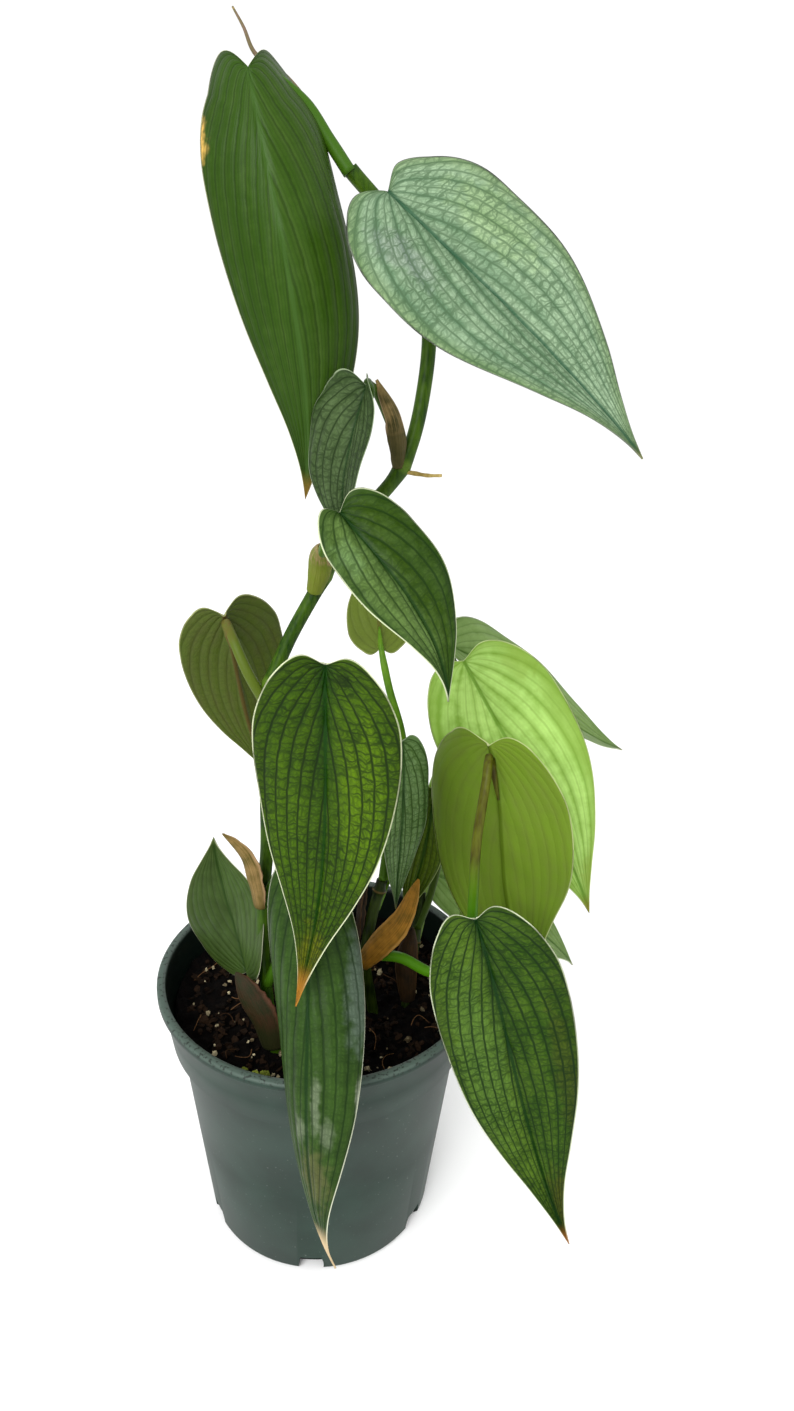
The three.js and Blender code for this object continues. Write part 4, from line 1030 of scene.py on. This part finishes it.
def pot_material(pot):
    """Satin moulded polypropylene: dark slate green with a faint mottle and a few pale scuffs. The inner wall
    is painted darker as shade and is shinier, and the top of the lip is paler, a painted highlight with some
    wear, with crumbs of soil on it."""
    material, tree = new_material("pot_polypropylene")
    coordinates = add(tree, "TexCoord")
    place = coordinates["Object"]
    outward = add(tree, "VectorMath", [place, (1, 1, 0)], operation="MULTIPLY")[0]
    facing = add(tree, "VectorMath", [outward, coordinates["Normal"]], operation="DOT_PRODUCT")[1]
    inside = add(tree, "Math", [facing, -0.005], operation="LESS_THAN")[0]
    height = add(tree, "SeparateXYZ", [place])[2]
    mottle = add(tree, "TexNoise", {"Vector": place, "Scale": 1 / (POT_MOTTLE * MM), "Detail": 5})[0]
    cloudy = add(tree, "MapRange", [mottle, *NOISE_SPAN, 0.8, 1.2])[0]
    specks = add(tree, "TexNoise", {"Vector": place, "Scale": 1 / (POT_SPECK * MM), "Detail": 3})[0]
    scuffs = add(tree, "MapRange", [specks, *SCUFF_EDGE, 0, 0.3])[0]
    sheen_and_wear, soiled = ([pot.height - below * MM for below in zone] for zone in (LIP_SHEEN_AND_WEAR_ZONE, SOILED_ZONE))
    lip = add(tree, "MapRange", [height, *sheen_and_wear, 0, 0.4])[0]
    crumbs = add(tree, "MapRange", [specks, *CRUMB_EDGE, 0, 0.7])[0]
    upper = add(tree, "MapRange", [height, *soiled])[0]
    crumbs = add(tree, "Math", [crumbs, upper], operation="MULTIPLY")[0]
    colour = add(tree, "VectorMath", [tuple(pot.colour), cloudy], operation="MULTIPLY")[0]
    # Painted shade darkens the inner wall, and a painted highlight with some wear pales the top of the lip
    for mask, code in ((scuffs, "#8d968f"), (inside, "#0c1410"), (lip, "#66756c"), (crumbs, "#0e0c08")):
        colour = add(tree, "Mix", {0: mask, 6: colour, 7: srgb(code)}, **COLOURS)[2]
    rough = add(tree, "MapRange", {0: inside, 3: 0.46, 4: 0.28})[0]
    surface(tree, colour, rough, ior=1.49, shine=0.16, height=mottle, strength=0.15, depth=0.2)
    return material


def earth_material(name, dark, light, rough):
    """Loose organic matter, matt and grainy: each bit has its own tone between a dark and a light colour."""
    material, tree = new_material(name)
    place = add(tree, "TexCoord")["Object"]
    tone = add(tree, "Attribute", attribute_name="tone")["Vector"]
    own = add(tree, "SeparateXYZ", [tone])[0]
    grain = add(tree, "TexNoise", {"Vector": place, "Scale": 1 / (EARTH_GRAIN * MM), "Detail": 5})[0]
    mixed = add(tree, "Math", [grain, 0.6, own], operation="MULTIPLY_ADD")[0]
    grade = add(tree, "MapRange", [mixed, 0.25, 1.25])[0]
    colour = add(tree, "Mix", {0: grade, 6: srgb(dark), 7: srgb(light)}, **COLOURS)[2]
    surface(tree, colour, rough, ior=1.45, shine=0.08, height=grain, strength=0.9, depth=0.6)
    return material


def floor_material():
    """Matt white paper sweep with a faint unevenness."""
    material, tree = new_material("studio_paper")
    place = add(tree, "TexCoord")["Object"]
    cloud = add(tree, "TexNoise", {"Vector": place, "Scale": 1 / (SWEEP_CLOUD * MM)})[0]
    rough = add(tree, "MapRange", {0: cloud, 3: 0.75, 4: 0.9})[0]
    body = add(tree, "BsdfPrincipled", {"Base Color": srgb("#fcfcfc"), "Roughness": rough})[0]
    add(tree, "OutputMaterial", [body])
    return material


def pot_profile(pot):
    """Radius and height in mm round the pot's wall, from the underside up outside and down inside, three
    rows to a stretch: near its start, half way and near its end."""
    sizes = (pot.height, pot.lip_radius, pot.base_radius, pot.wall)
    height, lip, base, wall = (size / MM for size in sizes)
    band_foot = height - POT_BAND_HEIGHT
    lip_foot = height - POT_LIP_HEIGHT
    corners = np.array([
        [POT_POLE, 0],
        [base - POT_FOOT_EDGE[0], 0],
        [base, POT_FOOT_EDGE[1]],
        [POT_BODY_TOP_RADIUS, band_foot],
        [POT_BAND_BOTTOM_RADIUS, band_foot + POT_BAND_STEP],
        [POT_BAND_TOP_RADIUS, lip_foot - POT_LIP_STEP],
        [lip, lip_foot],
        [lip, height - POT_LIP_EDGE],
        [lip - POT_LIP_EDGE, height],
        [lip - POT_LIP_WIDTH, height],
        [POT_BAND_TOP_RADIUS - wall, lip_foot - POT_LIP_STEP],
        [POT_BAND_BOTTOM_RADIUS - wall, band_foot + POT_INNER_STEP[0]],
        [POT_BODY_TOP_RADIUS - wall, band_foot + POT_INNER_STEP[1]],
        [base - wall, wall],
        [POT_POLE, wall],
    ])
    steps = np.diff(corners, axis=0)
    size = np.linalg.norm(steps, axis=1, keepdims=True)
    near = np.minimum(0.12, 0.2 * size) / size
    shares = np.stack([near, np.full_like(near, 0.5), 1 - near], axis=1)
    return (corners[:-1, None] + shares * steps[:, None]).reshape(-1, 2)


def drain_cutters(pot):
    """Round bars that cut the drain holes through the corner of the base, at 45 degrees."""
    base = pot.base_radius / MM
    rings = []
    angle = np.linspace(0, 2 * np.pi, 28, endpoint=False)
    for k in range(DRAIN_HOLES):
        turn = 2 * np.pi * (k + 0.5) / DRAIN_HOLES
        out = np.array([np.cos(turn), np.sin(turn), 0])
        level = np.array([-np.sin(turn), np.cos(turn), 0])
        axis = (out + np.array([0, 0, 1])) / math.sqrt(2)
        across = (out - np.array([0, 0, 1])) / math.sqrt(2)
        circle = DRAIN_HOLE_RADIUS * (column(np.cos(angle)) * across + column(np.sin(angle)) * level)
        middle = (base + DRAIN_HOLE_PLACE[0]) * out + np.array([0, 0, DRAIN_HOLE_PLACE[1]])
        rings.append(np.stack([middle + side * DRAIN_HOLE_REACH * axis + circle for side in (-1, 1)]))
    return rings


def soil_height(x, y):
    """Height of the soil's surface above its level: long low waves."""
    ridge = np.sin(0.31 * x + 0.6) * np.cos(0.27 * y - 0.4)
    lump = np.sin(0.62 * x - 0.35 * y + 1.3) * np.sin(0.5 * y + 0.2 * x)
    return SOIL_BUMP * (0.6 * ridge + 0.5 * lump)


def soil_skin(pot):
    """Closed bed: rings from the middle of the underside out, up the wall and in over the rough top."""
    level = pot.soil_level / MM
    band_foot = pot.height / MM - POT_BAND_HEIGHT
    inset = pot.wall / MM + SOIL_SIDE_GAP
    rim = POT_BAND_BOTTOM_RADIUS - inset
    side = [
        [1, pot.wall / MM + SOIL_GAP],
        [pot.base_radius / MM - inset, pot.wall / MM + SOIL_GAP],
        [POT_BODY_TOP_RADIUS - inset, band_foot + POT_INNER_STEP[1]],
        [rim, band_foot + SOIL_BAND[1]],
        [rim + SOIL_BAND[0], level - SOIL_EDGE],
    ]
    inward = np.linspace(rim + SOIL_BAND[0] - SOIL_EDGE, POT_POLE, 90)
    profile = np.vstack([side, np.stack([inward, np.full_like(inward, level)], axis=1)])
    angle = np.linspace(0, 2 * np.pi, 220, endpoint=False)
    x = profile[:, :1] * np.cos(angle)
    y = profile[:, :1] * np.sin(angle)
    top = np.arange(len(profile))[:, None] >= len(side)
    coarse, fine, sunk = SOIL_CRUMBS
    crumbs = coarse * ripple(x, y, 5, SEED + 2) + fine * ripple(x, y, 2.2, SEED + 3) + sunk
    z = profile[:, 1:] + np.where(top, soil_height(x, y) + crumbs, 0)
    tone = np.stack([0.3 + 0.3 * ripple(x, y, 3, SEED + 4), x * 0, x * 0], axis=2)
    return np.stack([x, y, z], axis=2), {"tone": tone}


def lumps(places, sizes, seed, dent):
    """Rough closed lumps: a ball of rings at each place, stretched to its three sizes, dented at random,
    and turned at random."""
    draw = np.random.default_rng(seed)
    rise = np.array([-0.86, -0.5, 0, 0.5, 0.86])[:, None]
    angle = np.linspace(0, 2 * np.pi, 7, endpoint=False)[None, :]
    level = np.sqrt(1 - rise**2)
    ball = np.stack(np.broadcast_arrays(np.cos(angle) * level, np.sin(angle) * level, rise), axis=2)
    skins = []
    for place, size in zip(places, sizes):
        tilt, roll = draw.uniform(-0.5, 0.5, 2)
        spin = Matrix.Rotation(draw.uniform(0, 2 * np.pi), 3, "Z") @ Matrix.Rotation(tilt, 3, "X")
        spin = np.array(spin @ Matrix.Rotation(roll, 3, "Y"))
        dented = ball * (1 + dent * draw.uniform(-1, 1, (*ball.shape[:2], 1))) * size
        skins.append((dented @ spin.T + place, {"tone": np.full(ball.shape, draw.uniform(0, 1))}))
    return skins


def scattered(pot, count, draw, clear):
    """Places spread evenly over the soil, off the stems by the clear distance in mm."""
    rim = POT_BAND_BOTTOM_RADIUS - pot.wall / MM - OFF_WALL
    turn = draw.uniform(0, 2 * np.pi, count)
    reach = rim * np.sqrt(draw.uniform(0, 1, count))
    x, y = reach * np.cos(turn), reach * np.sin(turn)
    stems = np.array([stem["points"][1][:2] for stem in STEMS.values()], float)
    off = np.hypot(x[:, None] - stems[:, 0], y[:, None] - stems[:, 1]).min(axis=1) > clear
    return x[off], y[off]


def on_soil(pot, x, y, lift):
    """Places on the surface of the soil, lifted by some mm."""
    return np.stack([x, y, pot.soil_level / MM + soil_height(x, y) + lift], axis=1)


def fibre_skin(pot, x, y, draw):
    """Thin curled fibre that lies on the soil round a place."""
    turn = draw.uniform(0, 2 * np.pi)
    steps = np.linspace(-1, 1, 5)
    reach = draw.uniform(*FIBRE_REACH)
    bend = draw.uniform(-FIBRE_BEND, FIBRE_BEND)
    px = x + reach * steps * np.cos(turn) - bend * steps**2 * np.sin(turn)
    py = y + reach * steps * np.sin(turn) + bend * steps**2 * np.cos(turn)
    rim = POT_BAND_BOTTOM_RADIUS - pot.wall / MM - FIBRE_OFF_WALL
    shrink = np.minimum(1, rim / np.hypot(px, py))
    px, py = px * shrink, py * shrink
    line = on_soil(pot, px, py, FIBRE_LIFT + draw.uniform(0, FIBRE_ARCH) * (1 - steps**2))
    rings, _ = tube(line, lambda share, angle: FIBRE_RADIUS * (1 - 0.5 * share), 6, 14, (0, 0, 1))
    return rings, {"tone": np.full(rings.shape, draw.uniform(0, 1))}


class PLANT_OT_stage(bpy.types.Operator):
    """Pale floor, soft studio light and the camera"""

    bl_idname = "plant.stage"
    bl_label = "Stage"

    def execute(self, context):
        scene = context.scene
        mesh = bpy.data.meshes.new("floor")
        corners = [(x * FLOOR_REACH, y * FLOOR_REACH, 0) for x, y in ((-1, -1), (1, -1), (1, 1), (-1, 1))]
        mesh.from_pydata(corners, [], [(0, 1, 2, 3)])
        mesh.materials.append(floor_material())
        floor = bpy.data.objects.new("floor", mesh)
        scene.collection.objects.link(floor)
        world = bpy.data.worlds.new("studio")
        world.use_nodes = True
        sky = world.node_tree.nodes["Background"].inputs
        sky["Color"].default_value = (1, 1, 1, 1)
        sky["Strength"].default_value = SKY_LIGHT
        scene.world = world
        scene.view_settings.view_transform = "Standard"
        scene.view_settings.exposure = EXPOSURE
        for name, (place, size, watts) in LAMPS.items():
            add_lamp(scene, name, place, size, watts)
        add_camera(scene)
        return {"FINISHED"}


def add_lamp(scene, name, place, size, watts):
    """Square soft lamp that looks at the middle of the plant."""
    data = bpy.data.lights.new(name, "AREA")
    data.size = size
    data.energy = watts
    lamp = bpy.data.objects.new(name, data)
    aim = Vector(PLANT_MIDDLE) - Vector(place)
    lamp.matrix_world = Matrix.Translation(place) @ aim.to_track_quat("-Z", "Y").to_matrix().to_4x4()
    scene.collection.objects.link(lamp)


def add_camera(scene):
    """Camera above the front that looks down at the pot, rolled a little."""
    data = bpy.data.cameras.new("camera")
    data.sensor_width = CAMERA_SENSOR
    data.lens = CAMERA_LENS
    data.clip_start = 0.01
    camera = bpy.data.objects.new("camera", data)
    tilt = Matrix.Rotation(math.radians(90 - CAMERA_PITCH), 4, "X")
    roll = Matrix.Rotation(math.radians(CAMERA_ROLL), 4, "Z")
    camera.matrix_world = Matrix.Translation(CAMERA_PLACE) @ tilt @ roll
    scene.collection.objects.link(camera)
    scene.camera = camera


class PLANT_OT_pot(bpy.types.Operator):
    """Pot with its lip, band and drain holes, painted shade inside and a painted highlight with wear on the
    lip
    """

    bl_idname = "plant.pot"
    bl_label = "Pot"

    def execute(self, context):
        pot = context.scene.plant_pot
        profile = pot_profile(pot)
        angle = np.linspace(0, 2 * np.pi, 192, endpoint=False)
        rings = np.stack([profile[:, :1] * np.cos(angle), profile[:, :1] * np.sin(angle),
                          profile[:, 1:] * np.ones_like(angle)], axis=2)
        material = pot_material(pot)
        piece = make_piece("nursery_pot", [(rings, {}, material)], ["pot"])
        bars = make_mesh("drain_cutter", [(ring, {}, material) for ring in drain_cutters(pot)])
        cutter = bpy.data.objects.new("drain_cutter", bars)
        context.scene.collection.objects.link(cutter)
        cut = piece.modifiers.new("drain_holes", "BOOLEAN")
        cut.object = cutter
        cut.operation = "DIFFERENCE"
        cut.solver = "EXACT"
        whole = piece.evaluated_get(context.evaluated_depsgraph_get())
        mesh = bpy.data.meshes.new_from_object(whole)
        piece.modifiers.clear()
        piece.data = mesh
        bpy.data.objects.remove(cutter)
        mesh.set_sharp_from_angle(angle=math.radians(40))
        return {"FINISHED"}


class PLANT_OT_soil(bpy.types.Operator):
    """Bed of potting mix with bark chips, perlite and fibres on it"""

    bl_idname = "plant.soil"
    bl_label = "Soil"

    def execute(self, context):
        pot = context.scene.plant_pot
        draw = np.random.default_rng(SEED)
        peat = earth_material("peat", "#000000", "#0b0604", 0.95)
        bark = earth_material("bark", "#000000", "#22160c", 0.85)
        perlite = earth_material("perlite", "#3a2e1c", "#cabd98", 0.85)
        moss = earth_material("moss", "#3a4410", "#8f9a3c", 0.9)
        fibre = earth_material("coir_fibre", "#1a0e06", "#6a4c30", 0.85)
        make_piece("potting_bed", [(*soil_skin(pot), peat)], ["soil"])

        # Bark chips, few of them large
        x, y = scattered(pot, pot.chips, draw, OFF_STEMS)
        size = draw.uniform(*CHIP_SIZES, (len(x), 3))
        chips = lumps(on_soil(pot, x, y, CHIP_LIFT), size, SEED + 5, CHIP_DENT)
        skins = [(*skin, bark) for skin in chips]

        # Perlite, most of it small
        x, y = scattered(pot, PERLITE_GRAINS, draw, PERLITE_OFF_STEMS)
        small, large = PERLITE_SIZES
        grade = small + (large - small) * draw.uniform(0, 1, len(x)) ** 3
        size = column(grade) * draw.uniform(0.6, 1.2, (len(x), 3))
        grains = lumps(on_soil(pot, x, y, PERLITE_LIFT), size, SEED + 6, PERLITE_DENT)
        skins += [(*skin, perlite) for skin in grains]

        # Moss in its patch, and fibres all over
        x, y = (draw.normal(*place, MOSS_TUFTS) for place in zip(MOSS_PATCH, MOSS_SPREAD))
        size = draw.uniform(*MOSS_SIZES, (MOSS_TUFTS, 3))
        tufts = lumps(on_soil(pot, x, y, MOSS_LIFT), size, SEED + 7, MOSS_DENT)
        skins += [(*skin, moss) for skin in tufts]
        x, y = scattered(pot, FIBRES, draw, OFF_STEMS)
        skins += [(*fibre_skin(pot, px, py, draw), fibre) for px, py in zip(x, y)]
        make_piece("potting_chips", skins, smooth=False)
        return {"FINISHED"}


class PLANT_OT_stems(bpy.types.Operator):
    """Vine and shoots with swollen, ringed nodes"""

    bl_idname = "plant.stems"
    bl_label = "Stems"

    def execute(self, context):
        for name, stem in STEMS.items():
            rows = 420 if len(stem["points"]) > 6 else 120
            rings, along = tube(stem["points"], stem_radius(stem), 20, rows)
            young, old, ring = stem["rind"]
            material = stem_material(name + "_rind", young, old, ring, stem["nodes"])
            make_piece(name + "_stem", [(rings, along, material)], [name])
        return {"FINISHED"}


def stem_radius(stem):
    """Radius of a stem, with a swelling and a fine ring where each leaf grows."""
    low, high = stem["radii"]
    nodes = np.array(stem["nodes"])

    def radius_at(share, angle):
        gap = column(share) - nodes
        swelling = sum(rise * np.exp(-((gap / spread) ** 2)) for rise, spread in (SWELL, RING))
        radius = low + (high - low) * np.minimum(1, 3 * share) + swelling.sum(axis=-1)
        return radius * (1 + 0.015 * np.cos(5 * angle))

    return radius_at


class PLANT_OT_leaves(bpy.types.Operator):
    """Blades with their leafstalks"""

    bl_idname = "plant.leaves"
    bl_label = "Leaves"

    def execute(self, context):
        foliage = context.scene.plant_foliage
        for leaf in LEAVES:
            finish = LEAF_FINISHES[leaf["finish"]]
            lamina = leaf_material(leaf, finish)
            young, old, foot = finish["stalk"]
            stalk = stem_material(leaf["name"] + "_stalk", young, old, foot=foot)
            skins = [(*blade_skin(leaf, foliage), lamina), (*stalk_skin(leaf), stalk)]
            make_piece(leaf["name"] + "_blade", skins, [leaf["name"]])
        return {"FINISHED"}


class PLANT_OT_sheaths(bpy.types.Operator):
    """Dry sheaths at the nodes"""

    bl_idname = "plant.sheaths"
    bl_label = "Sheaths"

    def execute(self, context):
        foliage = context.scene.plant_foliage
        for k, sheath in enumerate(SHEATHS):
            *finish, slot = SHEATH_FINISHES[sheath["finish"]]
            skin = sheath_skin(sheath, foliage, SEED + 20 + 2 * k)
            material = sheath_material(sheath["name"] + "_paper", *finish)
            make_piece(sheath["name"] + "_blade", [(*skin, material)], [sheath["name"]])
        return {"FINISHED"}


class PLANT_OT_trim(bpy.types.Operator):
    """Growing tip and aerial root"""

    bl_idname = "plant.trim"
    bl_label = "Tip and root"

    def execute(self, context):
        def tip_radius(share, angle):
            """Round rod that thins to a point, with the edge of the furled blade winding round it."""
            foot, even, late = TIP_RADIUS
            furl = 1 + 0.12 * np.cos(angle + 5 * share) + 0.06 * np.cos(3 * angle)
            return (foot - even * share - late * share**4) * furl

        def root_radius(share, angle):
            """Thinning rod with low waves along it."""
            foot, even = ROOT_RADIUS
            return (foot - even * share) * (1 + 0.08 * np.cos(23 * share + 2 * angle))

        rings, along = tube(GROWING_TIP, tip_radius, 16, 90)
        green = stem_material("young_leaf_rind", "#6e584a", "#5c5a34", "#8a7440", [0.99])
        make_piece("growing_tip_furled", [(rings, along, green)], ["growing_tip"])
        rings, along = tube(AERIAL_ROOT, root_radius, 14, 60)
        ochre = stem_material("root_skin", "#b09a5c", "#8a7438", "#c8b080", [0.98])
        make_piece("aerial_root_skin", [(rings, along, ochre)], ["aerial_root"])
        return {"FINISHED"}


class PLANT_PT_panel(bpy.types.Panel):
    """Buttons that build the plant"""

    bl_idname = "PLANT_PT_panel"
    bl_label = "Potted plant"
    bl_space_type = "VIEW_3D"
    bl_region_type = "UI"
    bl_category = "Plant"

    def draw(self, context):
        for group in (context.scene.plant_pot, context.scene.plant_foliage):
            for key in group.bl_rna.properties.keys():
                if key not in ("rna_type", "name"):
                    self.layout.prop(group, key)
        for item in BUILDERS:
            self.layout.operator(item.bl_idname)


BUILDERS = (PLANT_OT_stage, PLANT_OT_pot, PLANT_OT_soil, PLANT_OT_stems, PLANT_OT_leaves, PLANT_OT_sheaths,
            PLANT_OT_trim)
CLASSES = (PotSettings, FoliageSettings, *BUILDERS, PLANT_PT_panel)


def register():
    """Registers the classes and hangs the settings on the scene."""
    for item in CLASSES:
        bpy.utils.register_class(item)
    bpy.types.Scene.plant_pot = bpy.props.PointerProperty(type=PotSettings)
    bpy.types.Scene.plant_foliage = bpy.props.PointerProperty(type=FoliageSettings)


def unregister():
    """Takes the settings and the classes away again."""
    del bpy.types.Scene.plant_foliage
    del bpy.types.Scene.plant_pot
    for item in reversed(CLASSES):
        bpy.utils.unregister_class(item)


def main():
    """Builds the stage and the plant."""
    register()
    bpy.ops.plant.stage()
    bpy.ops.plant.pot()
    bpy.ops.plant.soil()
    bpy.ops.plant.stems()
    bpy.ops.plant.leaves()
    bpy.ops.plant.sheaths()
    bpy.ops.plant.trim()
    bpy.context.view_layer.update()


if __name__ == "__main__":
    main()
